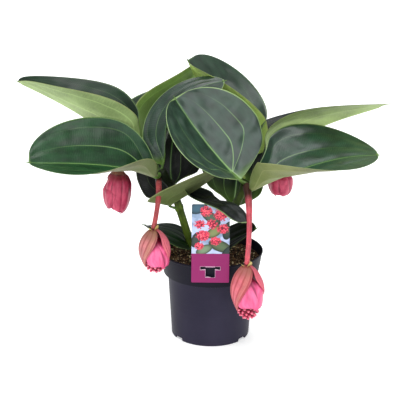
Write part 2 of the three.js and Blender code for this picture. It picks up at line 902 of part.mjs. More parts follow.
// room thickens and widens every bract, to keep other pieces clear of it.
function outerBracts(bud, room = 0) {
  const frame = budFrame(bud);
  const { radius } = bud;
  const form = { start: BUD.bractStart, length: frame.length, radius, neck: BUD.neckRadius };
  const bracts = bud.outer.map((one) => bract(frame, form, one, room));
  return union([...bracts, roundCap(frame, 0, BUD.capRadius)]);
}

function innerBracts(bud, room = 0) {
  const frame = budFrame(bud);
  const top = BUD.capLength + GAP;
  const hasLongBracts = bud.outer[0][2] > BUD.longReach;
  const widest = bud.radius * (hasLongBracts ? BUD.innerShare : BUD.bareShare);
  const length = frame.length - top;
  const form = { start: top + BUD.bractStart, length, neck: BUD.innerNeckRadius };
  const bracts = bud.inner.map((one, k) =>
    bract(frame, { ...form, radius: widest - BUD.overlapStep * k }, one, room));
  return union([...bracts, roundCap(frame, top, BUD.innerCapRadius)]);
}

function floretCluster(bud) {
  const frame = budFrame(bud);
  const start = 2 * (BUD.capLength + GAP);
  const radius = bud.radius * BUD.coreShare * bud.floretEnd;
  const neck = BUD.coreNeckRadius;
  const reach = bud.floretEnd * frame.length - start;
  const place = (t) => frame.top.clone().addScaledVector(frame.axis, start + t * reach);
  const corePoints = [0, 0.5, 1].map((t) => place(t * BUD.coreEnd).toArray());
  const coreSteps = 4;
  const coreSides = 8;
  const core = rod(corePoints, coreSteps, coreSides, (t) =>
    neck + (radius - neck) * budSwell(THREE.MathUtils.lerp(0.04, BUD.coreEnd, t)));
  const florets = [core];
  const shape = new THREE.IcosahedronGeometry(bud.floretSize, 0);
  for (const [t, count] of BUD.floretRings) {
    const onAxis = count === 1;
    const distance = onAxis ? 0 : radius * budSwell(THREE.MathUtils.lerp(0.06, 0.91, t));
    for (let k = 0; k < count; k += 1) {
      const angle = (2 * Math.PI * (k + t)) / count;
      const centre = place(t);
      centre.addScaledVector(frame.side, distance * Math.cos(angle));
      centre.addScaledVector(frame.away, distance * Math.sin(angle));
      florets.push(solidFromGeometry(shape.clone().translate(centre.x, centre.y, centre.z)));
    }
  }
  return union(florets);
}

// Assembly: each solid is cut clear of grown copies of the ones placed before it

const ROOM = 2 * GAP; // by which those copies are wider; they are thicker by the same on each face

const stemRoom = union(Object.values(STEMS).map((one) => stem(one, GAP + 0.05)));
const tag = label();
const tagSolid = union([tag.face, tag.tongue]);
const tongueHeight = 2 * (LABEL.tongueDrop + GAP);
const tongueBox = new THREE.BoxGeometry(LABEL.stemWidth + 2 * GAP, LABEL.tongueRoom, tongueHeight);
const tongueY = LABEL.tongueRoomInset - innerWallRadius(POT.height - LABEL.tongueDrop);
tongueBox.translate(LABEL.centreX, tongueY, POT.height);
const tongueRoom = solidFromGeometry(tongueBox);

addNode("pot", pot(), MATERIALS.pot);
addNode("label", tagSolid, MATERIALS.label);
addNode("soil", largestBody(soil([stemRoom, tongueRoom])), MATERIALS.soil);
for (const [name, spec] of Object.entries(STEMS)) {
  addNode(name, stem(spec), MATERIALS.stem);
}

const taken = [stemRoom, tagSolid];
const peduncleRoom = {};

function peduncle({ points, radius }, grow = 0) {
  const [steps, sides] = [12, 8];
  const section = (t, angle) => {
    const corner = 1 + 0.05 * Math.cos(4 * angle);
    const share = Math.min(t / PEDUNCLE_TAPER, 1);
    return THREE.MathUtils.lerp(radius[0], radius[1], share) * corner + grow;
  };
  return rod(points, steps, sides, section);
}

for (const [name, spec] of Object.entries(PEDUNCLES)) {
  addNode(name, largestBody(peduncle(spec).subtract(stemRoom)), MATERIALS.peduncle);
  peduncleRoom[name] = peduncle(spec, GAP + 0.05);
  taken.push(peduncleRoom[name]);
}

for (const [number, bud] of Object.entries(BUDS)) {
  const outerRoom = outerBracts(bud, ROOM);
  const innerRoom = innerBracts(bud, ROOM);
  const outer = outerBracts(bud).subtract(peduncleRoom["peduncle_" + number]);
  const inner = innerBracts(bud).subtract(outerRoom);
  const florets = floretCluster(bud).subtract(union([innerRoom, outerRoom]));
  addNode("outer_bracts_" + number, largestBody(outer), MATERIALS.outerBract);
  addNode("inner_bracts_" + number, largestBody(inner), MATERIALS.innerBract);
  addNode("florets_" + number, largestBody(florets), MATERIALS.floret);
  taken.push(outerRoom, innerRoom);
}

for (const letter of LEAF_ORDER) {
  const name = "leaf_" + letter;
  const blade = sheet(leafRows(LEAVES[name]), LEAF.thickness);
  addNode(name, largestBody(blade.subtract(union(taken))), MATERIALS.leaf);
  taken.push(sheet(leafRows(LEAVES[name], ROOM), LEAF.thickness + 2 * ROOM));
}

export default group;
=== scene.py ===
"""Looks of a medinilla in its nursery pot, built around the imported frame.

Sizes are in millimetres, in the frame's own axes, and are turned into metres where a mesh is made.
"""

import math
import random

import bpy
import numpy as np
from mathutils import Matrix, Vector


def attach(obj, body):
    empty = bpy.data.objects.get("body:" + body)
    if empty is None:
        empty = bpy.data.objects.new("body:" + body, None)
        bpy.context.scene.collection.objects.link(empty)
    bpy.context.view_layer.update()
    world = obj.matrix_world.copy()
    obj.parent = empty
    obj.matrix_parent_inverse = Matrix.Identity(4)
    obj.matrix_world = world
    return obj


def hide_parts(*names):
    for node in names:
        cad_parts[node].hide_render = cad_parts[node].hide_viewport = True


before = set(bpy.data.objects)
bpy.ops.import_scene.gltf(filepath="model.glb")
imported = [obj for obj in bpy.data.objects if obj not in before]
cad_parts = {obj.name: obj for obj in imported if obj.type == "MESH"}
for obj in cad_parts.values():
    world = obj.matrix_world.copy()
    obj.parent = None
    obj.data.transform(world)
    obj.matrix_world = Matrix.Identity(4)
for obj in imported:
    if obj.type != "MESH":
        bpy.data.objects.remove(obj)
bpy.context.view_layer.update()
MM = 0.001
GREEN_SEED, SOIL_SEED = 7, 11

# Camera and light

CAMERA_AIM = Vector((-0.0192, 0.0, 0.2306))
CAMERA_DISTANCE = 1.9
CAMERA_PITCH = 18.2  # degrees that it looks down
CAMERA_ROLL = -0.55
CAMERA_LENS = 105.3
SENSOR_WIDTH = 36

# Each lamp is (name, the way towards it, how wide it looks in degrees, strength, colour).
LAMPS = (
    ("over_back", (-0.1, 0.46, 0.88), 38, 1.0, (1, 1, 1)),
    ("overhead", (-0.33, -0.08, 0.94), 34, 0.75, (0.95, 0.98, 1)),
    ("front_high", (0.1, -0.62, 0.79), 34, 0.95, (1, 1, 1)),
    ("front_low", (-0.1, -0.97, 0.16), 46, 1.05, (0.9, 0.97, 1)),
    ("left", (-0.85, -0.2, 0.5), 50, 0.35, (0.95, 0.98, 1)),
    ("right", (0.85, 0.1, 0.5), 50, 0.3, (1, 1, 1)),
)
SKY_COLOUR = (0.93, 0.96, 1.0, 1.0)
SKY_LOW, SKY_HIGH = 0.12, 0.5  # its strength at the horizon and overhead
FLOOR_GLOW = 0.45  # the floor is a light table
FLOOR_HALF = 60  # metres, so that its far edge lies close to the horizon

# Pot, soil and label: the solids' own sizes

POT_HEIGHT = 147
POT_WALL = 1.8
RIM_RADIUS = 85
BAND_BOTTOM_RADIUS = 78.4
BAND_HEIGHT = 38
BODY_HEIGHT = POT_HEIGHT - BAND_HEIGHT
SHOULDER_RADIUS = 71.2
BASE_RADIUS = 64.4
PAD_RADIUS = 42
# The rim's lip, as how far inward of the rim radius and how far below the pot's height each point lies.
RIM_LIP = ((0.9, 3.6), (0.2, 3), (0, 2.2), (0, 0.9), (0.3, 0.25), (0.9, 0), (POT_WALL - 0.3, 0),
           (POT_WALL, 0.3))
SHARP_ANGLE = 38  # edges sharper than this many degrees aren't smoothed
CHANNEL_HEIGHT = 6
NOTCH_ANGLES = (-126, -54, 54, 126)
NOTCH_WIDTH, NOTCH_HEIGHT, NOTCH_DEPTH, NOTCH_SLANT = 17, 5, 9, 2.5
DRAIN_COUNT, DRAIN_RADIUS, DRAIN_CIRCLE = 8, 4.5, 53.2
CUT_SPARE = 2.0  # how far a drain hole's cutter stands past the floor
# A square's corners in order, in half sides.
SQUARE = ((-1, -1), (1, -1), (1, 1), (-1, 1))
SOIL_LEVEL = 134
SOIL_GAP = 0.4
SOIL_SHARE = 0.985  # of the edge's radius: the crumbs and the level surface end there
CRUMB_COUNT = 3400
CRUMB_SIZES = (1.0, 1.4, 1.9, 2.6)
LUMP_HEIGHT = 1.4
LUMP_LENGTH = 22
DOME_DROP = 2.5
LABEL_BAND_TOP = 169.5  # the plain band below the picture
LABEL_MIDDLE = -2
# The T slot's arms and its stem, each as (half width, bottom, top), and the pale cut edge round them.
LABEL_SLOT = ((15.75, 143, 148.2), (7.5, 131, 144.2))
CUT_EDGE, CUT_BLUR = 0.5, 0.15

# Stems

LEFT_FOOT = (-29, 14, 138)
LEFT_LOWER = (-52, 1, 214)
LEFT_UPPER = (-64, -6, 253)
LEFT_CROWN = (-83, -12, 279)
RIGHT_FOOT = (-4, 12, 141)
RIGHT_LOWER = (34, 1, 216)
RIGHT_CROWN = (55.5, -13, 262)

STEM_RADIUS = 6.4
CROWN_RADIUS = 9
# shade is how strongly painted shade darkens a stem's upper part, 0 to 1.
STEMS = {
    "stem_left": {
        "points": [(-22, 18, 100), LEFT_FOOT, (-40, 8, 172), LEFT_LOWER, LEFT_UPPER, (-75, -10, 270),
                   (-84, -12.5, 284)],
        "knuckles": (0.62, 0.83),
        "shade": 0.95,
    },
    "stem_right": {
        "points": [(-10, 14, 100), RIGHT_FOOT, (14, 6, 181), RIGHT_LOWER, (47, -7, 243), (56, -13.5, 267)],
        "knuckles": (0.64,),
        "shade": 0.5,
    },
}

# Leaves: the solids' own sizes. veins are the places of the side veins, as shares of the half width; pale
# is how pale the midrib, the inner and the outer side veins and the margin are; glow is how far up from
# the base the blade is tinted yellow green; quilt is the height of the blade's soft bulges; gloss scales
# its wax; fork is how far up the side veins leave the midrib; groove is how deep the veins lie; top and
# under are the two faces' colours. The numbers before the colours came out of least-squares fits to
# outline points read off the photo. They are rounded, and a few were then changed.


def leaf(node, base, heading, rise, length, half_width, left, right, curl, lobe, widest, base_taper,
         tip_taper, top, under, veins=((0.42, 0.8), (0.42, 0.8)), pale=(0.5, 0.4, 0.15, 0.5), glow=0.1,
         quilt=0.8, gloss=0.9, fork=0.02, groove=0.8):
    return dict(locals())


LEAVES = {
    "leaf_a": leaf(
        LEFT_CROWN, (-105, 13, 281), (197, 170, 196), (51, 31, 28), 251, 82, (84, 35, 23), (88, 23, 10),
        (58, 1), -0.06, 0.57, 1.15, 0.57, (24, 48, 28), (148, 168, 110), pale=(0.3, 0.25, 0.1, 0.3),
        gloss=0.35),
    "leaf_b": leaf(
        LEFT_CROWN, (-88, -35, 280), (200, 197, 192), (26, 9, 3), 207, 80, (24, -8, 11), (36, 38, 34),
        (74, -8), 0, 0.45, 0.89, 0.38, (30, 66, 36), (106, 106, 84), pale=(0.9, 0.75, 0.2, 0.6),
        quilt=0.6, gloss=0.6, groove=1.7),
    "leaf_c": leaf(
        LEFT_CROWN, (-79, -7, 291), (148, 39, 5), (112, 48, 7), 193, 44, (-45, 6, 15), (-64, -89, -42),
        (2, -5), -0.01, 0.51, 0.41, 0.6, (26, 50, 34), (116, 140, 70), pale=(0.5, 0.35, 0.1, 0.8)),
    "leaf_d": leaf(
        LEFT_CROWN, (-92, 24, 288), (174, 40, 90), (60, 24, 52), 227, 52, (22, 17, -9), (131, 69, 108),
        (53, -4), -0.07, 0.34, 0.69, 0.35, (30, 52, 30), (104, 132, 62)),
    "leaf_e": leaf(
        RIGHT_CROWN, (44, -31, 275), (153, 159, 157), (37, 48, 53), 167, 90, (11, -6, -2), (45, 65, 74),
        (14, 7), 0.03, 0.43, 0.56, 0.44, (38, 62, 46), (150, 165, 110), veins=((0.42, 0.8), (0.36, 0.68)),
        fork=0.1, pale=(1.0, 0.8, 0.6, 1.0), quilt=1.7, gloss=1.4, groove=1.1),
    "leaf_f": leaf(
        RIGHT_CROWN, (59, -42, 261), (-35, -5, -3), (32, 21, -2), 216, 89, (34, 15, 8), (24, -7, 1),
        (94, -5), -0.06, 0.47, 1.04, 0.52, (30, 62, 42), (110, 114, 74), pale=(0.7, 0.45, 0.12, 0.6),
        quilt=0.7, gloss=1.3, groove=1.6),
    "leaf_g": leaf(
        RIGHT_CROWN, (60, 0, 255), (71, -8, 48), (42, 30, 3), 273, 80, (57, 29, -8), (63, 53, 27),
        (-32, -19), -0.03, 0.36, 1.3, 0.43, (28, 34, 32), (142, 162, 100), pale=(0.2, 0.1, 0.05, 0.2),
        gloss=0.3),
    "leaf_h": leaf(
        RIGHT_CROWN, (55, 20, 259), (122, 135, 172), (9, 60, 59), 237, 94, (113, 89, 11), (73, 44, 24),
        (34, 1), 0.04, 0.4, 0.73, 0.35, (34, 58, 40), (176, 202, 106), pale=(0.25, 0.2, 0.1, 0.35)),
    # Its top colour is near black: painted shade, for it lies under the leaves above it.
    "leaf_i": leaf(
        LEFT_UPPER, (-63, 1, 254), (97, 90, 74), (-6, 26, 56), 173, 59, (-41, -10, 14), (33, 14, 2),
        (8, 3), 0.12, 0.45, 0.55, 0.5, (8, 12, 9), (118, 132, 60), veins=((0.3, 0.7), (0.3, 0.7)),
        pale=(0.4, 0.35, 0.1, 0.15), gloss=0.12),
    "leaf_k": leaf(
        LEFT_LOWER, (-69, -16, 226), (-54, -2, 15), (39, 34, 40), 108, 55, (13, -14, -7), (14, 33, 38),
        (10, 4), 0.14, 0.36, 0.53, 0.5, (26, 40, 30), (88, 96, 60), pale=(0.2, 0.1, 0.0, 0.3)),
    "leaf_l": leaf(
        LEFT_FOOT, (-33, 12, 144), (191, 187, 184), (62, 24, 12), 92, 36, (-11, -16, 10), (22, 3, -24),
        (2, 1), 0.0, 0.45, 0.55, 0.5, (22, 42, 24), (100, 126, 62), pale=(0.25, 0.2, 0.0, 0.3), gloss=0.35),
    "leaf_m": leaf(
        LEFT_UPPER, (-44, -15, 255), (-61, -30, -73), (-36, 8, -69), 145, 38, (30, -30, -55),
        (48, 4, -22), (6, -5), -0.05, 0.34, 0.52, 0.35, (26, 30, 29), (110, 130, 70),
        pale=(0.1, 0.05, 0.0, 0.6), gloss=0.5),
    # Its top colour is near black: painted shade, for it lies low under the other leaves.
    "leaf_n": leaf(
        RIGHT_FOOT, (0, 9, 143), (2, -3, -2), (22, 29, 23), 83, 38, (26, 17, 25), (-12, -1, 7), (1, 3),
        0.05, 0.45, 0.55, 0.49, (12, 18, 13), (84, 108, 54), pale=(0.2, 0.1, 0.0, 0.3), gloss=0.15),
    "leaf_o": leaf(
        RIGHT_LOWER, (35, 12, 215), (85, 84, 92), (9, 34, 47), 162, 66, (39, 20, 7), (8, 40, 32), (18, 7),
        0.09, 0.41, 0.49, 0.5, (22, 40, 25), (98, 122, 56), veins=((0.34, 0.7), (0.34, 0.7)),
        pale=(0.9, 0.8, 0.5, 0.3), glow=0.42, gloss=0.4),
}

LEAF_ROWS, LEAF_COLUMNS = 84, 48
LEAF_THICKNESS = 0.9
LOBE_SHARE = 0.3
OUTLINE_POWER = 2.2
USUAL_HALF_WIDTH = 70  # of the leaf whose veins and petiole aren't scaled
PETIOLE_RADIUS = 3.6
BULGE_HEIGHT = 0.55
BULGE_WAVES = 9
BULGE_LENGTHS = (18, 42)
PALE_VEIN = (142, 182, 106)
PALE_MARGIN = (150, 180, 112)

# Flower stalks and buds

PEDUNCLES = {
    "peduncle_1": {
        "points": [(-88, -8, 272), (-108, 4, 288), (-134, 12, 295), (-149, 12, 287), (-152, 12, 277)],
        "radius": (4.6, 3.6), "colour": (166, 70, 74), "root": 0.2,
    },
    "peduncle_2": {
        "points": [(-86, -22, 273), (-84.5, -42, 266), (-85, -58, 248), (-88.5, -69, 224), (-92, -72, 206)],
        "radius": (4.8, 3.7), "colour": (168, 66, 70), "root": 0.16,
    },
    "peduncle_3": {
        "points": [(55.5, -24, 262), (56.5, -58, 257), (57, -92, 243), (57, -112, 222), (56, -116, 192),
                   (54, -116, 164)],
        "radius": (6.6, 3.7), "colour": (206, 80, 94), "root": 0.36,
    },
    "peduncle_4": {
        "points": [(62, -4, 256), (76, 18, 272), (94, 42, 282), (108, 54, 279), (112, 55, 268)],
        "radius": (4.6, 3.6), "colour": (176, 70, 78), "root": 0.2,
    },
}
PEDUNCLE_TAPER = 0.62

# Each outer bract is (the way it faces in degrees, how far it spreads to both sides, how far it reaches
# down, how blunt it is, how low it stays broad). An inner bract is (facing, spread, reach, bluntness, the
# height of its shoulder, its girth). All but the angles are shares or powers.
BUDS = {
    1: {"top": (-152, 12, 276), "bottom": (-155, 12, 207), "radius": 21.5, "open": False,
        "outer": ((200, 58, 0.2, 0.45, 1.9), (272, 40, 0.12, 0.45, 1.9), (332, 52, 0.17, 0.45, 1.9),
                  (80, 62, 0.2, 0.4, 1.9)),
        "inner": ((300, 92, 0.98, 0.2, 0.12, 1.0), (190, 82, 0.88, 0.22, 0.34, 1.12),
                  (60, 84, 0.95, 0.25, 0.16, 0.95)),
        "floret": 2.0, "floret_end": 0.98, "beads": 30,
        "scales": ((215, 6, 62), (10, 6, 50))},
    2: {"top": (-92, -72, 205), "bottom": (-88, -74, 135), "radius": 25, "open": True,
        "outer": ((190, 122, 0.85, 0.7, 0.8), (-6, 56, 0.8, 0.9, 1.9), (92, 52, 0.84, 0.7, 1.9)),
        "inner": ((300, 74, 0.8, 0.14, 0.26, 1.0), (50, 70, 0.76, 0.3, 0.24, 0.96),
                  (168, 62, 0.5, 0.3, 0.24, 0.94)),
        "floret": 2.35, "floret_end": 1.0, "beads": 62,
        "scales": ((215, 7, 30), (330, 11, 18), (90, 9, 30))},
    3: {"top": (54, -116, 163), "bottom": (58.5, -117, 76), "radius": 26, "open": True,
        "outer": ((188, 145, 0.88, 0.7, 0.6), (-8, 50, 0.52, 1.0, 1.9), (98, 52, 0.84, 0.7, 1.9)),
        "inner": ((300, 86, 0.74, 0.1, 0.24, 1.0), (50, 70, 0.7, 0.3, 0.24, 0.96),
                  (166, 62, 0.6, 0.3, 0.24, 0.94)),
        "floret": 2.5, "floret_end": 1.0, "beads": 72,
        "scales": ((205, 7, 40), (318, 11, 24), (60, 9, 26))},
    4: {"top": (112, 55, 267), "bottom": (116, 55, 224), "radius": 20.5, "open": False,
        "outer": ((200, 60, 0.22, 0.4, 1.9), (320, 60, 0.2, 0.4, 1.9), (80, 60, 0.22, 0.4, 1.9)),
        "inner": ((275, 104, 0.95, 0.15, 0.14, 1.0), (180, 72, 0.96, 0.2, 0.16, 0.98),
                  (10, 76, 0.95, 0.2, 0.14, 1.0), (90, 74, 0.96, 0.22, 0.16, 0.96)),
        "floret": 1.8, "floret_end": 0.98, "beads": 30,
        "scales": ((350, 8, 80), (190, 6, 70))},
}
NECK_RADIUS, INNER_NECK_RADIUS = 5.4, 3.6
CAP_LENGTH = 4
SOLID_GAP = 0.3
BRACT_START = 0.6
BRACT_FLARE = 0.03
BRACT_THICKNESS = 0.9
INNER_SHARE, BARE_SHARE = 0.9, 0.99
CORE_SHARE, BARE_CORE_SHARE = 0.64, 0.5
OVERLAP_STEP = 0.5
BRACT_ROWS, BRACT_COLUMNS = 48, 72
BRACT_LEAN = 0.05
INNER_BELLY = 1.9
BEAD_RINGS, BEAD_SIDES = 7, 10
BEAD_LENGTH, BEAD_TIP = 1.22, 1.36
BEAD_JITTER = (-1.3, 0.8)
GOLDEN_ANGLE = 2.39996  # radians from one bead to the next
BRACT_FURROWS = 23  # phase of the furrows over half of a bract's width, in radians

# Bud number: (skin, stripes, tan bands).
OUTER_BRACT_COLOURS = {
    1: ((178, 92, 88), (132, 52, 54), (166, 116, 90)),
    2: ((214, 130, 132), (150, 58, 62), (176, 128, 92)),
    3: ((220, 112, 124), (162, 46, 56), (180, 112, 90)),
    4: ((178, 92, 88), (132, 52, 54), (166, 116, 90)),
}
# Open or not: (painted lit colour where it bulges, painted shade in its folds, painted shade at its root up
# inside the bud).
INNER_BRACT_COLOURS = {
    True: ((247, 116, 161), (232, 78, 130), (124, 14, 44)),
    False: ((202, 72, 102), (164, 42, 74), (140, 44, 60)),
}
# A floret's side, its pale tip with painted highlight, and the painted shade in the gaps between florets.
FLORET_COLOURS = ((228, 86, 120), (252, 176, 184), (128, 18, 46))

# The label's print: each leaf is (centre, radii, turn, colour), each bloom (centre, radius).
LABEL_LEAVES = (((-22, 243), (15, 9), 20, (44, 70, 84)), ((22, 246), (14, 6), -25, (52, 74, 62)),
                ((-2, 228), (18, 8), -35, (58, 74, 60)), ((25, 207), (15, 8), 75, (38, 52, 44)),
                ((4, 205), (15, 8), 35, (96, 104, 66)), ((-25, 192), (13, 7), 70, (40, 50, 46)),
                ((13, 182), (19, 9), -20, (66, 80, 56)), ((-12, 176), (14, 7), 25, (92, 108, 84)),
                ((26, 174), (12, 6), 40, (32, 44, 42)))
LABEL_BLOOMS = (((-9, 238), 11), ((14, 232), 12.5), ((-19, 217), 9.5), ((17, 210), 10.5), ((0, 217), 10.5),
                ((-14, 199), 12), ((6, 190), 9.5), ((-20, 182), 8))

# Materials


def linear(colour):
    """An sRGB colour, 0 to 255, as the linear colour that a shader takes."""
    shares = [c / 255 for c in colour]
    return tuple(c / 12.92 if c <= 0.04045 else ((c + 0.055) / 1.055) ** 2.4 for c in shares) + (1.0,)


def shaded(colour, factor):
    return tuple(min(c * factor, 255) for c in colour)


class Nodes:
    """A node tree that is written as formulas."""

    def __init__(self, tree):
        self.tree = tree

    def put(self, socket, value):
        if isinstance(value, bpy.types.NodeSocket):
            self.tree.links.new(value, socket)
        elif isinstance(value, tuple) and len(value) == 3 and socket.type == "RGBA":
            socket.default_value = linear(value)
        else:
            socket.default_value = value

    def add(self, kind, inputs, output=0, **settings):
        node = self.tree.nodes.new("ShaderNode" + kind)
        for key, value in settings.items():
            setattr(node, key, value)
        for key, value in inputs.items():
            self.put(node.inputs[key], value)
        return node.outputs[output]

    def math(self, operation, a, b=0.0, c=0.0):
        return self.add("Math", {0: a, 1: b, 2: c}, operation=operation)

    def times(self, a, b, plus=None):
        """a times b, with plus added where it is given."""
        return self.math("MULTIPLY", a, b) if plus is None else self.math("MULTIPLY_ADD", a, b, plus)

    def step(self, value, low, high):
        """0 at low and 1 at high, smooth between."""
        inputs = {"Value": value, "From Min": low, "From Max": high}
        return self.add("MapRange", inputs, interpolation_type="SMOOTHSTEP")

    def line(self, distance, inside, outside):
        """1 on a line, 0 beside it, from the signed distance to it in line widths."""
        return self.step(self.math("ABSOLUTE", distance), outside, inside)

    def mix(self, factor, a, b):
        return self.add("Mix", {0: factor, 6: a, 7: b}, output=2, data_type="RGBA")

    def attribute(self, name):
        """The three parts of a colour attribute, and its alpha."""
        colour = self.add("Attribute", {}, "Color", attribute_name=name)
        parts = self.add("SeparateColor", {0: colour}).node.outputs
        return (*parts, colour.node.outputs["Alpha"])

    def place(self):
        return self.add("TexCoord", {}, "Object")

    def axes(self, vector):
        return tuple(self.add("SeparateXYZ", {0: vector}).node.outputs)

    def vector(self, x, y, z=0.0):
        return self.add("CombineXYZ", {0: x, 1: y, 2: z})

    def noise(self, scale, detail=3.0, vector=None):
        inputs = {"Vector": vector or self.place(), "Scale": scale, "Detail": detail, "Roughness": 0.5}
        return self.add("TexNoise", inputs)

    def drawn_noise(self, a, a_scale, b, b_scale, detail=3.0):
        """Noise over two measures, each with its own scale, so that it can be drawn out along one."""
        return self.noise(1.0, detail, self.vector(self.times(a, a_scale), self.times(b, b_scale)))

    def bump(self, height, strength, distance):
        return self.add("Bump", {"Height": height, "Strength": strength, "Distance": distance})


class Finish(Nodes):
    """A material that starts as one colour and is painted over, mask by mask."""

    def __init__(self, name, colour, **fixed):
        self.material = bpy.data.materials.new(name)
        self.material.use_nodes = True
        super().__init__(self.material.node_tree)
        self.shader = self.tree.nodes["Principled BSDF"]
        self.colour = colour
        for socket, value in fixed.items():
            self.shader.inputs[socket.replace("_", " ")].default_value = value

    def paint(self, colour, mask, strength=None):
        factor = mask if strength is None else self.times(mask, strength)
        self.colour = self.mix(factor, self.colour, colour)

    def finish(self, roughness=None, normal=None):
        for socket, value in (("Base Color", self.colour), ("Roughness", roughness), ("Normal", normal)):
            if value is not None:
                self.put(self.shader.inputs[socket], value)
        return self.material


def leaf_top(name, spec):
    """Dark waxy blade with pale sunken veins, fine cross ribs and a thin pale margin."""
    mid_pale, inner_pale, outer_pale, margin_pale = spec["pale"]
    gloss = spec["gloss"]
    f = Finish(name, shaded(spec["top"], 0.84), Specular_IOR_Level=0.5 * gloss, Coat_Weight=0.2 * gloss,
               Coat_Roughness=0.22)
    mid, inner, outer, margin = f.attribute("veins")
    along, across, share = f.attribute("place")[:3]
    cloud = f.drawn_noise(along, 0.03, across, 0.06, 4.0)
    f.paint(shaded(spec["top"], 1.18), f.step(cloud, 0.32, 0.68))
    f.paint((64, 112, 52), f.line(mid, 1.0, 5.0), 0.4 * mid_pale)
    f.paint((104, 138, 48), f.step(share, spec["glow"], 0.0), 0.75)
    thin_out = f.step(share, 1.0, 0.15)
    inner_mask = f.times(f.line(inner, 0.5, 1.3), inner_pale)
    outer_mask = f.times(f.line(outer, 0.5, 1.3), outer_pale)
    f.paint(PALE_VEIN, f.math("MAXIMUM", inner_mask, outer_mask), thin_out)
    mid_mask = f.times(f.line(mid, 0.6, 1.3), mid_pale)
    f.paint(PALE_VEIN, mid_mask, f.times(thin_out, 0.55, 0.45))
    f.paint(PALE_MARGIN, f.step(margin, 2.1, 0.9), margin_pale)
    ribs = f.math("SINE", f.times(cloud, 20.0, f.times(along, 2.4)))
    height = f.times(f.times(ribs, cloud), 0.9, f.noise(380.0))
    return f.finish(f.times(cloud, 0.16, 0.26), f.bump(height, 0.3, 0.0005))


def leaf_under(name, spec):
    """Pale matt underside with raised, lighter veins, a net of fine ones, and painted light: yellow green
    towards the base, where light shines through the blade.
    """
    colour = spec["under"]
    f = Finish(name, shaded(colour, 0.88), Specular_IOR_Level=0.25)
    mid, inner, outer, margin = f.attribute("veins")
    along, across, share = f.attribute("place")[:3]
    f.paint(shaded(colour, 1.1), f.step(f.noise(20.0, 4.0), 0.3, 0.7))
    # Painted light: yellow green towards the base, where light shines through the blade.
    f.paint((112, 142, 58), f.step(share, 0.6, 0.0), 0.35)
    web = f.drawn_noise(along, 0.55, across, 0.12, 4.0)
    f.paint(shaded(colour, 1.18), f.step(web, 0.42, 0.7), 0.3)
    side_veins = f.math("MAXIMUM", f.line(inner, 0.6, 1.8), f.line(outer, 0.6, 1.6))
    f.paint(shaded(colour, 1.3), f.math("MAXIMUM", f.line(mid, 0.8, 2.2), side_veins), 0.5)
    f.paint((150, 150, 96), f.step(margin, 2.4, 0.6), 0.55)
    return f.finish(0.6, f.bump(web, 0.35, 0.0008))


def petiole_finish():
    """Short green stalk of a leaf."""
    f = Finish("leaf_stalk", (74, 104, 40), Specular_IOR_Level=0.4)
    cloud = f.noise(90.0)
    f.paint((108, 140, 64), f.step(cloud, 0.35, 0.65))
    return f.finish(0.45, f.bump(cloud, 0.2, 0.0005))


def stalk_green(name):
    """Young green stem with dark lengthwise streaks and painted shade that darkens its upper part."""
    f = Finish(name, (60, 80, 20), Specular_IOR_Level=0.25)
    along, around, share, tone = f.attribute("place")
    cloud = f.noise(55.0, 4.0)
    f.paint((92, 114, 32), f.step(cloud, 0.35, 0.65))
    streak = f.drawn_noise(along, 0.03, around, 1.6)
    f.paint((40, 56, 16), f.step(streak, 0.45, 0.7), 0.5)
    # Painted shade: the upper part turns near black, as strongly as the stem's shade value.
    f.paint((14, 20, 11), f.step(share, 0.62, 0.72), tone)
    return f.finish(f.times(cloud, 0.2, 0.45), f.bump(streak, 0.5, 0.0008))


def stalk_pink(name, spec):
    """Red-pink flower stalk, streaked and freckled, dark brown where it leaves the crown."""
    colour = spec["colour"]
    f = Finish(name, shaded(colour, 0.88), Specular_IOR_Level=0.35)
    along, around, share = f.attribute("place")[:3]
    f.paint(shaded(colour, 1.08), f.step(f.noise(70.0, 4.0), 0.35, 0.65))
    streak = f.drawn_noise(along, 0.04, around, 1.4)
    f.paint(shaded(colour, 0.66), f.step(streak, 0.42, 0.7), 0.4)
    f.paint((240, 164, 164), f.step(f.noise(520.0, 2.0), 0.6, 0.7), 0.4)
    f.paint((62, 26, 22), f.step(share, spec["root"], 0.6 * spec["root"]))
    return f.finish(0.5, f.bump(streak, 0.5, 0.0008))


def outer_bract_finish(name, base, stripe, tan):
    """Leathery bract: dark lines in its furrows, tan bands, browner at the top and along the edges."""
    f = Finish(name, shaded(base, 0.9), Specular_IOR_Level=0.35)
    share, across, _, tint = f.attribute("place")
    cloud = f.noise(60.0, 4.0)
    f.paint(shaded(base, 1.08), f.step(cloud, 0.3, 0.7))
    band = f.math("SINE", f.times(across, 8.0, f.times(cloud, 3.0)))
    f.paint(tan, f.step(band, 0.2, 0.95), 0.45)
    furrow = f.math("COSINE", f.times(cloud, 1.6, f.times(across, BRACT_FURROWS)))
    f.paint(stripe, f.step(furrow, -0.2, -0.95), 0.7)
    fine = f.math("SINE", f.times(cloud, 5.0, f.times(across, 4.3 * BRACT_FURROWS)))
    f.paint(stripe, f.step(fine, 0.3, 1.0), 0.25)
    f.paint(shaded(tan, 0.8), f.step(share, 0.3, 0.0), 0.7)
    f.paint(shaded(stripe, 0.9), f.step(f.math("ABSOLUTE", across), 0.93, 1.0), 0.6)
    f.paint((236, 104, 128), f.step(tint, 0.5, 1.5), 0.7)
    return f.finish(0.48, f.bump(f.times(fine, 0.3, f.noise(240.0)), 0.5, 0.0007))


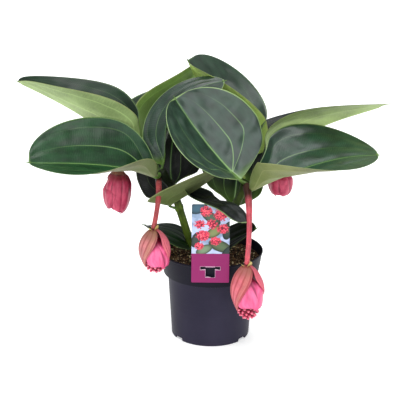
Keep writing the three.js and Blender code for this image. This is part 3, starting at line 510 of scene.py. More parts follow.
def inner_bract_finish(name, base, shade, dark, shoulder):
    """Soft crumpled petal with painted light and shade: lighter where its bumps bulge, deeper in their folds
    and in the creases of its form, and deep red up inside the bud.
    """
    f = Finish(name, shade, Specular_IOR_Level=0.35)
    share, across, bow = f.attribute("place")[:3]
    fold = f.drawn_noise(share, 3.0, across, 4.0)
    # Painted light and shade: the lighter colour where the bumps bulge, the deeper one in their folds.
    f.paint(base, f.step(fold, 0.32, 0.66))
    # Painted shade in the creases where the form folds inward.
    f.paint(shaded(shade, 0.75), f.step(bow, -0.2, -1.2))
    # Painted shade up inside the bud, above the shoulder.
    f.paint(dark, f.step(share, shoulder, shoulder - 0.14))
    return f.finish(0.4, f.bump(f.times(fold, 1.6, f.noise(220.0)), 0.45, 0.0008))


def floret_finish(name, base, tip, gap):
    """Flower buds: each has its own pale tip, partly painted highlight, and painted shade darkens them where
    they stand close and covers the core between them.
    """
    # Painted shade: every floret starts in the gap colour, which stays at its foot and over the core.
    f = Finish(name, gap, Specular_IOR_Level=0.3)
    _, pick, _, outward = f.attribute("place")
    f.paint(base, f.step(outward, 0.2, 0.68))
    # Pale tips, partly painted highlight.
    f.paint(tip, f.step(outward, 0.66, 1.0), f.times(pick, 0.5, 0.25))
    return f.finish(0.36, f.bump(f.noise(300.0), 0.3, 0.0004))


def scale_finish():
    """Small leaflet beside a bud's stalk, yellow at its tip."""
    f = Finish("bract_scale", (158, 92, 70), Specular_IOR_Level=0.3)
    f.paint((206, 190, 112), f.step(f.attribute("place")[0], 0.0, 0.7))
    return f.finish(0.5, f.bump(f.noise(300.0), 0.4, 0.0005))


def pot_finish():
    """Anthracite moulded plastic: satin, with faint turning lines and a darker rim band, partly its own
    texture and partly painted shade from the leaves above.
    """
    f = Finish("pot_plastic", (40, 37, 53), Specular_IOR_Level=0.1)
    z = f.axes(f.place())[2]
    cloud = f.noise(9.0, 5.0)
    f.paint((49, 46, 63), f.step(cloud, 0.35, 0.7))
    lines = f.noise(1.0, 4.0, f.vector(0.0, 0.0, f.times(z, 520.0)))
    f.paint((70, 68, 84), f.step(lines, 0.55, 0.75), 0.16)
    # Painted shade: the rim band darker, partly its own texture, partly the leaves' shade over it.
    f.paint((18, 17, 28), f.step(z, (BODY_HEIGHT - 1) * MM, (BODY_HEIGHT + 1) * MM), 0.85)
    height = f.times(lines, 1.0, f.times(f.noise(700.0, 2.0), 0.35))
    return f.finish(f.times(cloud, 0.14, 0.38), f.bump(height, 0.25, 0.0005))


def soil_finish():
    """Dark moist peat with lighter fibres and a few cream grains."""
    f = Finish("soil", (38, 26, 20), Specular_IOR_Level=0.2)
    pick = f.attribute("place")[0]
    f.paint((86, 62, 46), f.step(f.noise(160.0, 5.0), 0.35, 0.65))
    f.paint((126, 96, 68), f.step(pick, 0.5, 0.78))
    f.paint((214, 194, 158), f.step(pick, 0.86, 0.88))
    return f.finish(0.9, f.bump(f.noise(500.0, 4.0), 0.8, 0.001))


def disc(f, x, z, centre, radii, turn=0.0):
    """How far out of an ellipse's centre the label's point is, squared: 1 on its rim."""
    cos, sin = math.cos(math.radians(turn)), math.sin(math.radians(turn))
    dx = f.math("SUBTRACT", x, centre[0])
    dz = f.math("SUBTRACT", z, centre[1])
    a = f.times(dx, cos / radii[0], f.times(dz, sin / radii[0]))
    b = f.times(dz, cos / radii[1], f.times(dx, -sin / radii[1]))
    return f.times(a, a, f.times(b, b))


def slot_mask(f, x, z):
    """1 over the T slot and the narrow cut edge round it, 0 elsewhere."""
    across = f.math("ABSOLUTE", f.math("SUBTRACT", x, LABEL_MIDDLE))
    masks = []
    for half_width, bottom, top in LABEL_SLOT:
        upward = f.math("ABSOLUTE", f.math("SUBTRACT", z, (bottom + top) / 2))
        inside = [f.step(distance, half + CUT_EDGE + CUT_BLUR, half + CUT_EDGE - CUT_BLUR)
                  for distance, half in ((across, half_width), (upward, (top - bottom) / 2))]
        masks.append(f.times(*inside))
    return f.math("MAXIMUM", *masks)


def label_finish():
    """Generic print: round coral blossoms and leaves on pale blue above a plain magenta band."""
    f = Finish("label_card", (190, 202, 236), Specular_IOR_Level=0.3)
    x, z = [f.times(part, 1 / MM) for part in f.axes(f.place())[::2]]
    f.paint((136, 156, 184), f.step(f.noise(60.0, 2.0), 0.4, 0.6))
    for centre, radii, turn, colour in LABEL_LEAVES:
        square = disc(f, x, z, centre, radii, turn)
        shades = f.mix(f.step(square, 0.0, 1.0), shaded(colour, 1.35), shaded(colour, 0.7))
        f.paint(shades, f.step(square, 1.08, 0.94))
    dots = f.add("TexVoronoi", {"Vector": f.vector(x, z), "Scale": 0.42})
    petals = f.mix(f.step(dots, 0.15, 0.5), (252, 128, 138), (232, 54, 86))
    petals = f.mix(f.step(dots, 0.5, 0.75), petals, (112, 22, 44))
    for centre, radius in LABEL_BLOOMS:
        square = disc(f, x, z, centre, (radius, radius * 0.86))
        lit = f.mix(f.step(square, 0.1, 1.1), petals, (196, 44, 76))
        f.paint(lit, f.step(f.times(dots, 1.1, square), 1.35, 1.2))
    above = f.step(z, LABEL_BAND_TOP - 0.2, LABEL_BAND_TOP + 0.2)
    f.colour = f.mix(above, (144, 20, 96), f.colour)
    f.paint((236, 206, 226), slot_mask(f, x, z), 0.6)
    front = f.step(f.axes(f.add("NewGeometry", {}, "True Normal"))[1], -0.6, -0.8)
    f.colour = f.mix(front, (226, 224, 226), f.colour)
    return f.finish(0.3, f.bump(f.noise(900.0, 2.0), 0.05, 0.0002))


# Mesh helpers


def unit(vectors):
    return vectors / np.maximum(np.linalg.norm(vectors, axis=-1, keepdims=True), 1e-12)


def smooth(value, low, high):
    """0 at low and 1 at high, smooth between."""
    share = np.clip((value - low) / (high - low), 0, 1)
    return share * share * (3 - 2 * share)


def ridge(distance, width):
    """A bell that is 1 at no distance and dies away over the width."""
    return np.exp(-((distance / width) ** 2))


def full_turn(sides):
    return 2 * np.pi * np.arange(sides) / sides


def add_object(name, data):
    thing = bpy.data.objects.new(name, data)
    bpy.context.scene.collection.objects.link(thing)
    return thing


def grid_quads(rows, columns, wrap=False, flip=False):
    """Quads over a grid of points that are numbered row by row."""
    quads = []
    for low in range(0, (rows - 1) * columns, columns):
        for j in range(columns if wrap else columns - 1):
            k = (j + 1) % columns
            quad = [low + j, low + k, low + columns + k, low + columns + j]
            quads.append(quad[::-1] if flip else quad)
    return quads


class Piece:
    """Collects points, faces and two colour attributes, then becomes one object."""

    def __init__(self):
        self.points, self.place, self.veins = [], [], []
        self.faces, self.slots = [], []
        self.count = 0

    def cover(self, faces, slot):
        """Adds faces over points that are in the piece already."""
        self.faces.extend(faces)
        self.slots.extend([slot] * len(faces))

    def extend(self, points, faces, slot, place=None, veins=None):
        points = np.asarray(points, float).reshape(-1, 3)
        blank = np.zeros((len(points), 4))
        self.points.append(points)
        self.place.append(blank if place is None else np.reshape(place, (-1, 4)))
        self.veins.append(blank if veins is None else np.reshape(veins, (-1, 4)))
        self.cover([[corner + self.count for corner in face] for face in faces], slot)
        self.count += len(points)

    def mesh(self, name):
        mesh = bpy.data.meshes.new(name)
        mesh.from_pydata(np.concatenate(self.points) * MM, [], self.faces)
        return mesh

    def build(self, name, materials, slot, replaces):
        mesh = self.mesh(name)
        for material in materials:
            mesh.materials.append(material)
        mesh.polygons.foreach_set("material_index", self.slots)
        mesh.polygons.foreach_set("use_smooth", [True] * len(self.faces))
        for key, values in (("veins", self.veins), ("place", self.place)):
            layer = mesh.attributes.new(key, "FLOAT_COLOR", "POINT")
            layer.data.foreach_set("color", np.concatenate(values).astype(np.float32).ravel())
        mesh.validate()
        mesh.update()
        piece = add_object(name, mesh)
        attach(piece, "root")
        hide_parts(*replaces)
        return piece


def sheet(piece, upper, lower, place, veins, upper_slot, lower_slot):
    """Two grids of points closed along their rim."""
    rows, columns = upper.shape[:2]
    first = piece.count
    piece.extend(upper, grid_quads(rows, columns), upper_slot, place, veins)
    start = piece.count
    piece.extend(lower, grid_quads(rows, columns, flip=True), lower_slot, place, veins)
    order = np.arange(rows * columns).reshape(rows, columns)
    rim = np.concatenate([order[0], order[1:, -1], order[-1, -2::-1], order[-2:0:-1, 0]])
    after = np.roll(rim, -1)
    band = np.stack([first + after, first + rim, start + rim, start + after], axis=1)
    piece.cover(band.tolist(), upper_slot)


def closed(piece, grid, ends, slot, place=None, end_place=None):
    """A grid that wraps round, closed by a point at each end."""
    rows, sides = grid.shape[:2]
    first = piece.count
    piece.extend(grid, grid_quads(rows, sides, wrap=True), slot, place)
    bottom = piece.count
    last = bottom - sides
    piece.extend(ends, [], slot, end_place)
    fan = []
    for j in range(sides):
        k = (j + 1) % sides
        fan += [[bottom, first + k, first + j], [bottom + 1, last + j, last + k]]
    piece.cover(fan, slot)


def between(t, low, high, a, b):
    """The point at t on the line that is at a where t is low, and at b where t is high."""
    return (high - t) / (high - low) * a + (t - low) / (high - low) * b


def smooth_curve(points, steps):
    """Evenly spaced points on the centripetal Catmull-Rom curve through the given points."""
    given = [np.array(p, float) for p in points]
    given = [2 * given[0] - given[1]] + given + [2 * given[-1] - given[-2]]
    dense = []
    for p0, p1, p2, p3 in zip(given, given[1:], given[2:], given[3:]):
        gaps = [max(np.linalg.norm(b - a), 1e-6) ** 0.5 for a, b in ((p0, p1), (p1, p2), (p2, p3))]
        t1, t2, t3 = np.cumsum(gaps)
        t = np.linspace(t1, t2, 40, endpoint=False)[:, None]
        middle = between(t, t1, t2, p1, p2)
        early = between(t, 0, t2, between(t, 0, t1, p0, p1), middle)
        late = between(t, t1, t3, middle, between(t, t2, t3, p2, p3))
        dense.append(between(t, t1, t2, early, late))
    dense = np.concatenate([*dense, [given[-2]]])
    lengths = np.concatenate([[0], np.cumsum(np.linalg.norm(np.diff(dense, axis=0), axis=1))])
    at = np.linspace(0, lengths[-1], steps + 1)
    return np.stack([np.interp(at, lengths, dense[:, k]) for k in range(3)], axis=1), lengths[-1]


def rod(piece, points, steps, sides, section, slot, tone=0.0):
    """A rod along a smooth curve, rounded at its end. section(t, angle) gives its radius."""
    path, length = smooth_curve(points, steps)
    tangents = unit(np.gradient(path, axis=0))
    across = unit(np.cross([0, 1, 0], tangents))
    front = np.cross(tangents, across)
    t, angle = np.meshgrid(np.linspace(0, 1, steps + 1), full_turn(sides), indexing="ij")
    reach = section(t, angle) * np.clip((1 - t) * steps / 1.5, 0.05, 1) ** 0.5
    ring = across[:, None] * np.cos(angle)[..., None] + front[:, None] * np.sin(angle)[..., None]
    grid = path[:, None] + ring * reach[..., None]
    # The fourth place value carries a stem's painted shade.
    place = np.stack([t * length, angle, t, np.full_like(t, tone)], axis=-1)
    first = list(range(piece.count, piece.count + sides))
    piece.extend(grid, grid_quads(steps + 1, sides, wrap=True), slot, place)
    last = list(range(piece.count - sides, piece.count))
    piece.cover([first[::-1], last], slot)


def turned(piece, profile, sides, slot, lift=None):
    """A closed turned form. The profile starts and ends on the axis."""
    profile = np.array(profile, float)
    angles = full_turn(sides)
    inner = profile[1:-1]
    grid = np.zeros((len(inner), sides, 3))
    grid[..., 0] = inner[:, :1] * np.cos(angles)
    grid[..., 1] = inner[:, :1] * np.sin(angles)
    grid[..., 2] = inner[:, 1:]
    ends = np.array([[0, 0, profile[0, 1]], [0, 0, profile[-1, 1]]])
    if lift is not None:
        grid[..., 2] += lift(grid)
        ends[1, 2] = grid[-1, :, 2].mean()
    closed(piece, grid, ends, slot)


# Leaves


def through_three(values, u):
    start, middle, end = values
    return start * (1 - u) * (1 - 2 * u) + 4 * middle * u * (1 - u) + end * u * (2 * u - 1)


def directions(spec, u):
    heading = np.radians(through_three(spec["heading"], u))
    rise = np.radians(through_three(spec["rise"], u))
    flat = np.cos(rise)
    along = np.stack([flat * np.cos(heading), flat * np.sin(heading), np.sin(rise)], axis=-1)
    right = np.stack([np.sin(heading), -np.cos(heading), np.zeros_like(heading)], axis=-1)
    return along, right, np.cross(right, along)


def midrib(spec, u):
    """Points of the midrib at the shares u of its length."""
    steps = 40
    middle = (np.arange(steps) + 0.5) / steps
    along = directions(spec, np.outer(u, middle))[0]
    return np.array(spec["base"], float) + along.mean(axis=1) * (u * spec["length"])[:, None]


def half_widths(spec, u):
    widest = spec["widest"]
    before = np.clip((widest - u) / widest, 0, 1)
    after = np.clip((u - widest) / (1 - widest), 0, 1)
    low = (1 - before**OUTLINE_POWER) ** spec["base_taper"]
    high = (1 - after**OUTLINE_POWER) ** spec["tip_taper"]
    return np.maximum(spec["half_width"] * np.where(u < widest, low, high), np.where(u < widest, 4.5, 1.6))


def vein_place(place, u, fork):
    """Where a side vein runs, as a share of the half width: it leaves the midrib at the fork."""
    rise = np.clip((u - fork) / 0.3, 0, 1)
    return place * (1 - (1 - rise) ** 2.2)


def bulges(x, y, rng):
    """Soft uneven swellings between the veins, about -1 to 1 high."""
    height = np.zeros_like(x)
    for _ in range(BULGE_WAVES):
        turn, phase = rng.uniform(0, 2 * np.pi, 2)
        wavelength = rng.uniform(*BULGE_LENGTHS)
        height += np.sin(2 * np.pi * (x * np.cos(turn) + y * np.sin(turn)) / wavelength + phase)
    return height / math.sqrt(BULGE_WAVES)


def leaf_piece(name, spec, rng):
    t = np.linspace(0, 1, LEAF_ROWS)
    rows = (t + (1 - np.cos(np.pi * t)) / 2) / 2
    u, s = np.meshgrid(rows, np.linspace(-1, 1, LEAF_COLUMNS + 1), indexing="ij")
    along, right, up = directions(spec, rows)
    width = half_widths(spec, rows)[:, None]
    lift = np.radians(np.where(s < 0, through_three(spec["left"], u), through_three(spec["right"], u)))
    bend = np.radians(spec["curl"][0] * (1 - u) + spec["curl"][1] * u)
    bend = np.where(np.abs(bend) < 1e-4, 1e-4, bend)
    reach = np.abs(s)
    out = width * (np.sin(lift + bend * reach) - np.sin(lift)) / bend
    raised = width * (np.cos(lift) - np.cos(lift + bend * reach)) / bend
    back = spec["lobe"] * spec["length"] * np.sin(np.pi * np.minimum(u / LOBE_SHARE, 1)) ** 2 * reach
    points = midrib(spec, rows)[:, None] + right[:, None] * (np.sign(s) * out)[..., None]
    points = points + up[:, None] * raised[..., None] - along[:, None] * back[..., None]
    normal = unit(np.cross(np.gradient(points, axis=1), np.gradient(points, axis=0)))

    # Distances to the veins and the margin, in millimetres over the blade.
    near, far = np.array(spec["veins"]).T[:, np.where(s < 0, 0, 1)]
    to_mid = s * width
    to_inner = (reach - vein_place(near, u, spec["fork"])) * width
    to_outer = (reach - vein_place(far, u, spec["fork"])) * width
    to_margin = np.minimum((1 - reach) * width, (1 - u) * spec["length"] * 0.6 + 0.2)
    size = spec["half_width"] / USUAL_HALF_WIDTH
    mid_width = size * (1.1 + 2.6 * np.clip(1 - u / 0.22, 0, 1) ** 2 - 0.5 * u)
    side_width = size * (0.85 - 0.25 * u)

    # The veins lie sunk in the upper face, the blade swells between them, and ribs stand out below.
    sunk = ridge(to_mid, 6 * size) + 0.9 * ridge(to_inner, 6 * size)
    sunk = sunk + 0.5 * ridge(to_outer, 4.5 * size)
    x = u * spec["length"]
    calm = np.clip(np.minimum(to_margin, np.minimum(np.abs(to_mid), np.abs(to_inner))) / 9, 0, 1)
    swelling = BULGE_HEIGHT * spec["quilt"] * bulges(x, to_mid, rng) * calm
    fade = np.clip(to_margin / 6, 0, 1) * np.clip(u / 0.04, 0, 1)
    relief = (swelling - spec["groove"] * np.minimum(sunk, 1.2)) * fade
    ribs = 0.9 * ridge(to_mid, 1.7 * size) + 0.35 * ridge(to_inner, 1.2 * size)
    half = LEAF_THICKNESS / 2 * np.clip(to_margin / 1.6, 0.3, 1)
    upper = points + normal * (half + relief)[..., None]
    lower = points + normal * (relief - half - ribs * fade)[..., None]

    place = np.stack([x, to_mid, u, np.zeros_like(u)], axis=-1)
    veins = np.stack([to_mid / mid_width, to_inner / side_width, to_outer / side_width, to_margin], axis=-1)
    piece = Piece()
    sheet(piece, upper, lower, place, veins, 0, 1)

    # The drip tip: a small hooked point.
    end, forward, raise_up = points[-1, LEAF_COLUMNS // 2], along[-1], up[-1]
    hook = [end - forward * 4, end + forward, end + forward * 3.4 + raise_up * 0.3,
            end + forward * 4.6 + raise_up * 1.2]
    rod(piece, hook, 10, 8, lambda t, a: 1.2 * (1 - t) ** 0.8 + 0.2, 2)

    # The short fleshy stalk from the stem to the blade.
    joined = np.array([0.05, 0.12])
    inside = midrib(spec, joined) + directions(spec, joined)[2] * -0.9
    stalk = [np.array(spec["node"], float), np.array(spec["base"], float) - up[0] * 0.6, *inside]
    thick = PETIOLE_RADIUS * min(size, 1.05)
    rod(piece, stalk, 18, 14, lambda t, a: thick * (1 - 0.62 * t) * (1 + 0.06 * np.cos(3 * a)), 2)

    materials = [leaf_top(name + "_top", spec), leaf_under(name + "_under", spec),
                 bpy.data.materials.get("leaf_stalk") or petiole_finish()]
    piece.build(name + "_blade", materials, "leaf", [name])


# Stems and flower stalks


def stem_piece(name, spec):
    def section(t, angle):
        corner = 1 + 0.13 * np.cos(4 * angle - np.pi) + 0.02 * np.cos(12 * angle)
        knuckle = sum(ridge(t - at, 0.022) for at in spec["knuckles"])
        scar = sum(ridge(t - at - 0.02, 0.006) for at in spec["knuckles"])
        reach = STEM_RADIUS * corner * (1 + 0.2 * knuckle - 0.05 * scar)
        crown = smooth(t, 0.86, 0.97) * (CROWN_RADIUS - STEM_RADIUS)
        return reach + crown * (1 + 0.1 * np.cos(5 * angle + 1))

    piece = Piece()
    rod(piece, spec["points"], 150, 48, section, 0, tone=spec["shade"])
    piece.build(name + "_skin", [stalk_green(name + "_green")], "stem", [name])


def peduncle_piece(name, spec):
    low, high = spec["radius"]

    def section(t, angle):
        share = np.minimum(t / PEDUNCLE_TAPER, 1)
        corner = 1 + 0.05 * np.cos(4 * angle) + 0.012 * np.sin(9 * angle + 14 * t)
        return (low * (1 - share) + high * share) * corner * (1 + 0.12 * ridge(1 - t, 0.03))

    piece = Piece()
    rod(piece, spec["points"], 110, 32, section, 0)
    piece.build(name + "_skin", [stalk_pink(name + "_pink", spec)], "flower_stalk", [name])


# Flower buds


def bud_frame(bud):
    top = np.array(bud["top"], float)
    axis = np.array(bud["bottom"], float) - top
    length = np.linalg.norm(axis)
    axis = axis / length
    side = unit(np.array([1.0, 0, 0]) - axis * axis[0])
    return top, axis, length, side, np.cross(side, axis)


def swell(t):
    return np.maximum(np.sin(np.pi * np.minimum(t, 1) ** 0.9), 0) ** 0.75


def blade(piece, bud, start, length, one, belly, distance_at, rng, tint=0, pinch=0.0):
    """One bract as a thin closed blade. distance_at(t, s, i) gives its distance from the bud's axis."""
    facing, spread, reach, bluntness = one[:4]
    top, axis, _, side, away = bud_frame(bud)
    i, j = np.meshgrid(np.arange(BRACT_ROWS + 1) / BRACT_ROWS, np.arange(BRACT_COLUMNS + 1) / BRACT_COLUMNS,
                       indexing="ij")
    s = 2 * j - 1
    phase = rng.uniform(0, 6.28)
    t = reach * i * (1 + 0.025 * i * np.sin(6 * s + phase) + BRACT_LEAN * i * s)
    taper = np.maximum((1 - i**belly) ** bluntness, 0.04) * (1 - pinch * (1 - smooth(i, 0, 0.45)))
    angle = np.radians(facing + s * spread * taper)
    distance, fold = distance_at(t, s, i)
    body = top + axis * (start + t * length)[..., None]
    outward = side * np.cos(angle)[..., None] + away * np.sin(angle)[..., None]
    points = body + outward * (distance + fold)[..., None]
    normal = unit(np.cross(np.gradient(points, axis=0), np.gradient(points, axis=1)))
    normal = normal * np.sign((normal * outward).sum(axis=-1, keepdims=True) + 1e-9)
    rim = np.clip(np.minimum((1 - np.abs(s)) * 8, (1 - i) * 12), 0.25, 1)
    half = BRACT_THICKNESS / 2 * rim
    outer, inner = points + normal * half[..., None], points - normal * half[..., None]
    place = np.stack([t, s, fold, np.full_like(t, tint)], axis=-1)
    sheet(piece, outer, inner, place, None, 0, 0)


def outer_bract(piece, bud, one, layer, rng):
    length = bud_frame(bud)[2]

    def distance_at(t, s, i):
        ribs = (0.32 if bud["open"] else 0.2) * np.cos(BRACT_FURROWS * s) * smooth(i, 0.02, 0.25)
        wave = 0.5 * np.sin(5 * s + 6 * i + layer) * i
        girth = NECK_RADIUS + (bud["radius"] - 0.5 * layer - NECK_RADIUS) * swell(t)
        return girth * (1 + BRACT_FLARE * t * s * s), ribs + wave

    pinker, pinch = (2, 0.35) if bud["open"] and layer == 1 else (0, 0)
    blade(piece, bud, BRACT_START, length, one, one[4], distance_at, rng, pinker, pinch)


def inner_bract(piece, bud, one, layer, rng):
    shoulder, girth = one[4:]
    start = CAP_LENGTH + SOLID_GAP
    length = bud_frame(bud)[2] - start
    widest = bud["radius"] * girth * (INNER_SHARE if bud["open"] else BARE_SHARE) - OVERLAP_STEP * layer
    phase = rng.uniform(0, 6.28, 4)
    full, bluff = (0.52, 2.6) if bud["open"] else (0.42, 2.0)

    def distance_at(t, s, i):
        rising = smooth(t, shoulder + 0.1 * s * s - 0.2, shoulder + 0.1 * s * s + 0.12)
        closing = np.sqrt(np.clip(1 - np.clip((t - full) / (1.08 - full), 0, 1) ** bluff, 0, 1))
        if not bud["open"]:
            rising = 0.36 * rising + 0.64 * smooth(t, -0.14, 0.1)
        grown = INNER_NECK_RADIUS + (widest - INNER_NECK_RADIUS) * rising * closing
        if bud["open"]:
            crease = np.sin(4 * s + 5 * t + phase[0]) + 0.5 * np.sin(9 * s - 11 * t + phase[1])
            pleat = -1.1 * ridge(s - 0.1 - 0.9 * (t - 0.5), 0.07)
            fold = (0.45 * crease + pleat) * rising
        else:
            ridges = np.abs(np.cos(6 * s * (1.15 - 0.5 * t) + phase[2])) ** 0.8 - 0.6
            fold = (1.7 * ridges + 0.2 * np.sin(9 * t + phase[3])) * rising * closing
        return grown, fold

    blade(piece, bud, start + BRACT_START, length, one, INNER_BELLY, distance_at, rng)


def scale(piece, bud, facing, length, rise):
    """A small pointed leaflet that stands up beside the stalk."""
    top, axis, _, side, away = bud_frame(bud)
    turn, tilt = math.radians(facing), math.radians(rise)
    outward = side * math.cos(turn) + away * math.sin(turn)
    across = np.cross(outward, axis)
    forward = outward * math.sin(tilt) - axis * math.cos(tilt)
    up = np.cross(across, forward)
    i, j = np.meshgrid(np.linspace(0, 1, 15), np.linspace(-1, 1, 9), indexing="ij")
    half = 0.46 * length * np.sin(np.pi * (0.22 + 0.78 * i)) ** 0.8
    base = top + axis * 1.5 + outward * (NECK_RADIUS - 1.5)
    bow = 0.12 * length * (i**2 + j**2 * (1 - i))
    points = base + forward * (i * length)[..., None] + across * (j * half)[..., None] + up * bow[..., None]
    place = np.stack([i, j, bow, bow], axis=-1)
    sheet(piece, points + up * 0.3, points - up * 0.3, place, None, 1, 1)


def cap(piece, bud, start, radius):
    """A round cushion from which the bracts hang."""
    top, axis = bud_frame(bud)[:2]
    points = [top + axis * (start + share * CAP_LENGTH) for share in (0, 0.5, 1)]
    rod(piece, points, 8, 24, lambda t, a: radius * np.sqrt(np.clip(1 - (2 * t - 1) ** 4, 0.05, 1)), 0)


def bead(piece, centre, outward, radius, pick):
    """A small egg-shaped flower bud that points outward."""
    outward = unit(outward)
    side = unit(np.cross(outward, [0.31, 0.2, 0.93]))
    away = np.cross(outward, side)
    a, b = np.meshgrid(np.pi * np.arange(1, BEAD_RINGS) / BEAD_RINGS, full_turn(BEAD_SIDES), indexing="ij")
    wide, height = radius * np.sin(a), BEAD_LENGTH * radius * -np.cos(a)
    grid = centre + outward * height[..., None]
    grid = grid + side * (wide * np.cos(b))[..., None] + away * (wide * np.sin(b))[..., None]
    poles = np.array([centre - outward * BEAD_LENGTH * radius, centre + outward * BEAD_TIP * radius])
    share = (1 - np.cos(a)) / 2
    place = np.stack([share, np.full_like(a, pick), share, share], axis=-1)
    closed(piece, grid, poles, 0, place, [[0, pick, 0, 0], [1, pick, 1, 1]])


def cluster_form(share):
    """Half profile of the flower cluster: a slim core that widens to a round end."""
    closing = np.sqrt(np.clip(1 - np.clip((share - 0.74) / 0.3, 0, 1) ** 2, 0, 1))
    return smooth(share, 0.25, 0.6) * closing


def bud_pieces(number, bud, rng):
    top, axis, length, side, away = bud_frame(bud)
    piece = Piece()
    for layer, one in enumerate(bud["outer"]):
        outer_bract(piece, bud, one, layer, rng)
    cap(piece, bud, 0, NECK_RADIUS + 0.8)
    for facing, size, rise in bud["scales"]:
        scale(piece, bud, facing, size, rise)
    finish = outer_bract_finish(f"outer_bract_{number}", *OUTER_BRACT_COLOURS[number])
    materials = [finish, bpy.data.materials.get("bract_scale") or scale_finish()]
    piece.build(f"outer_bracts_{number}_skin", materials, "outer_bract", [f"outer_bracts_{number}"])

    piece = Piece()
    for layer, one in enumerate(bud["inner"]):
        inner_bract(piece, bud, one, layer, rng)
    cap(piece, bud, CAP_LENGTH + SOLID_GAP, INNER_NECK_RADIUS + 0.8)
    # How far up inside the bud the painted shade reaches.
    shoulder = bud["inner"][0][4] + 0.08 if bud["open"] else 0.2
    finish = inner_bract_finish(f"inner_bract_{number}", *INNER_BRACT_COLOURS[bud["open"]], shoulder)
    piece.build(f"inner_bracts_{number}_skin", [finish], "inner_bract", [f"inner_bracts_{number}"])

    piece = Piece()
    start = 2 * (CAP_LENGTH + SOLID_GAP)
    reach = bud["floret_end"] * length - start - bud["floret"]
    radius = bud["radius"] * (CORE_SHARE if bud["open"] else BARE_CORE_SHARE)
    ends = [top + axis * (start + share * reach) for share in (0, 0.5, 1)]
    # The core between the florets takes their painted gap shade all over.
    rod(piece, ends, 40, 24, lambda t, a: 2 + (radius - 4.6) * cluster_form(t), 0)
    for k in range(bud["beads"]):
        share = 0.6 + 0.42 * (k + 0.5) / bud["beads"]
        angle = GOLDEN_ANGLE * k
        form = float(cluster_form(np.array(share)))
        distance = radius * form + rng.uniform(*BEAD_JITTER)
        outward = side * math.cos(angle) + away * math.sin(angle)
        centre = top + axis * (start + share * reach) + outward * distance
        tilt = outward * (0.25 + form) + axis * (1.3 - form)
        bead(piece, centre, tilt, bud["floret"] * rng.uniform(0.82, 1.04), rng.uniform(0, 1))
    finish = floret_finish(f"floret_{number}", *FLORET_COLOURS)
    piece.build(f"florets_{number}_skin", [finish], "floret", [f"florets_{number}"])


# Pot, soil and label


def inner_wall(z):
    """Radius of the rim band's inside at the height z."""
    share = (z - BODY_HEIGHT) / BAND_HEIGHT
    return BAND_BOTTOM_RADIUS + (RIM_RADIUS - BAND_BOTTOM_RADIUS) * share - POT_WALL


def pot_piece():
    foot = [(0, 0), (PAD_RADIUS, 0), (PAD_RADIUS + 4, CHANNEL_HEIGHT), (BASE_RADIUS - 4, CHANNEL_HEIGHT),
            (BASE_RADIUS - 2.2, 0), (BASE_RADIUS - 0.6, 0), (BASE_RADIUS, 0.6)]
    body = [(BASE_RADIUS + (SHOULDER_RADIUS - BASE_RADIUS) * z / BODY_HEIGHT, z)
            for z in np.linspace(2, BODY_HEIGHT - 2.6, 14)]
    ledge = [(SHOULDER_RADIUS + 0.2, BODY_HEIGHT - 1.6), (SHOULDER_RADIUS + 1.6, BODY_HEIGHT - 0.5),
             (BAND_BOTTOM_RADIUS - 1.2, BODY_HEIGHT - 0.3), (BAND_BOTTOM_RADIUS - 0.3, BODY_HEIGHT + 0.1),
             (BAND_BOTTOM_RADIUS, BODY_HEIGHT + 0.9)]
    slope = (RIM_RADIUS - BAND_BOTTOM_RADIUS) / BAND_HEIGHT
    band = [(BAND_BOTTOM_RADIUS + slope * (z - BODY_HEIGHT) - 0.25, z)
            for z in np.linspace(BODY_HEIGHT + 3, POT_HEIGHT - 4.5, 8)]
    lip = [(RIM_RADIUS - inward, POT_HEIGHT - down) for inward, down in RIM_LIP]
    inside = [(inner_wall(z), z) for z in np.linspace(POT_HEIGHT - 4, BODY_HEIGHT + POT_WALL, 6)]
    bottom = [(SHOULDER_RADIUS - POT_WALL, BODY_HEIGHT), (BASE_RADIUS - POT_WALL, CHANNEL_HEIGHT + POT_WALL),
              (PAD_RADIUS + 3, CHANNEL_HEIGHT + POT_WALL), (PAD_RADIUS - 1, POT_WALL), (0, POT_WALL)]
    piece = Piece()
    turned(piece, foot + body + ledge + band + lip + inside + bottom, 160, 0)
    pot = piece.build("pot_shell", [pot_finish()], "pot_plastic", ["pot"])

    cutters = Piece()
    for angle in NOTCH_ANGLES:
        notch_cutter(cutters, math.radians(angle))
    for k in range(DRAIN_COUNT):
        drain_cutter(cutters, (k + 0.5) * 2 * math.pi / DRAIN_COUNT)
    cutter = add_object("notches", cutters.mesh("notches"))
    cut = pot.modifiers.new("notches", "BOOLEAN")
    cut.object = cutter
    cut.operation = "DIFFERENCE"
    cut.solver = "EXACT"
    apply_modifiers(pot)
    bpy.data.objects.remove(cutter)
    pot.data.set_sharp_from_angle(angle=math.radians(SHARP_ANGLE))


def rotation(angle, first, second):
    """The matrix that turns the first axis towards the second."""
    matrix = np.eye(3)
    matrix[first, first] = matrix[second, second] = math.cos(angle)
    matrix[second, first] = math.sin(angle)
    matrix[first, second] = -math.sin(angle)
    return matrix


def notch_cutter(piece, angle):
    """A box for one notch in the foot, with slanted ends."""
    corners = [(x * (NOTCH_WIDTH / 2 + grow), BASE_RADIUS + y * NOTCH_DEPTH / 2, z)
               for z, grow in ((-NOTCH_HEIGHT, NOTCH_SLANT), (NOTCH_HEIGHT, 0))
               for x, y in SQUARE]
    faces = [[3, 2, 1, 0], [4, 5, 6, 7], [0, 1, 5, 4], [1, 2, 6, 5], [2, 3, 7, 6], [3, 0, 4, 7]]
    piece.extend(np.array(corners) @ rotation(angle, 0, 1).T, faces, 0)


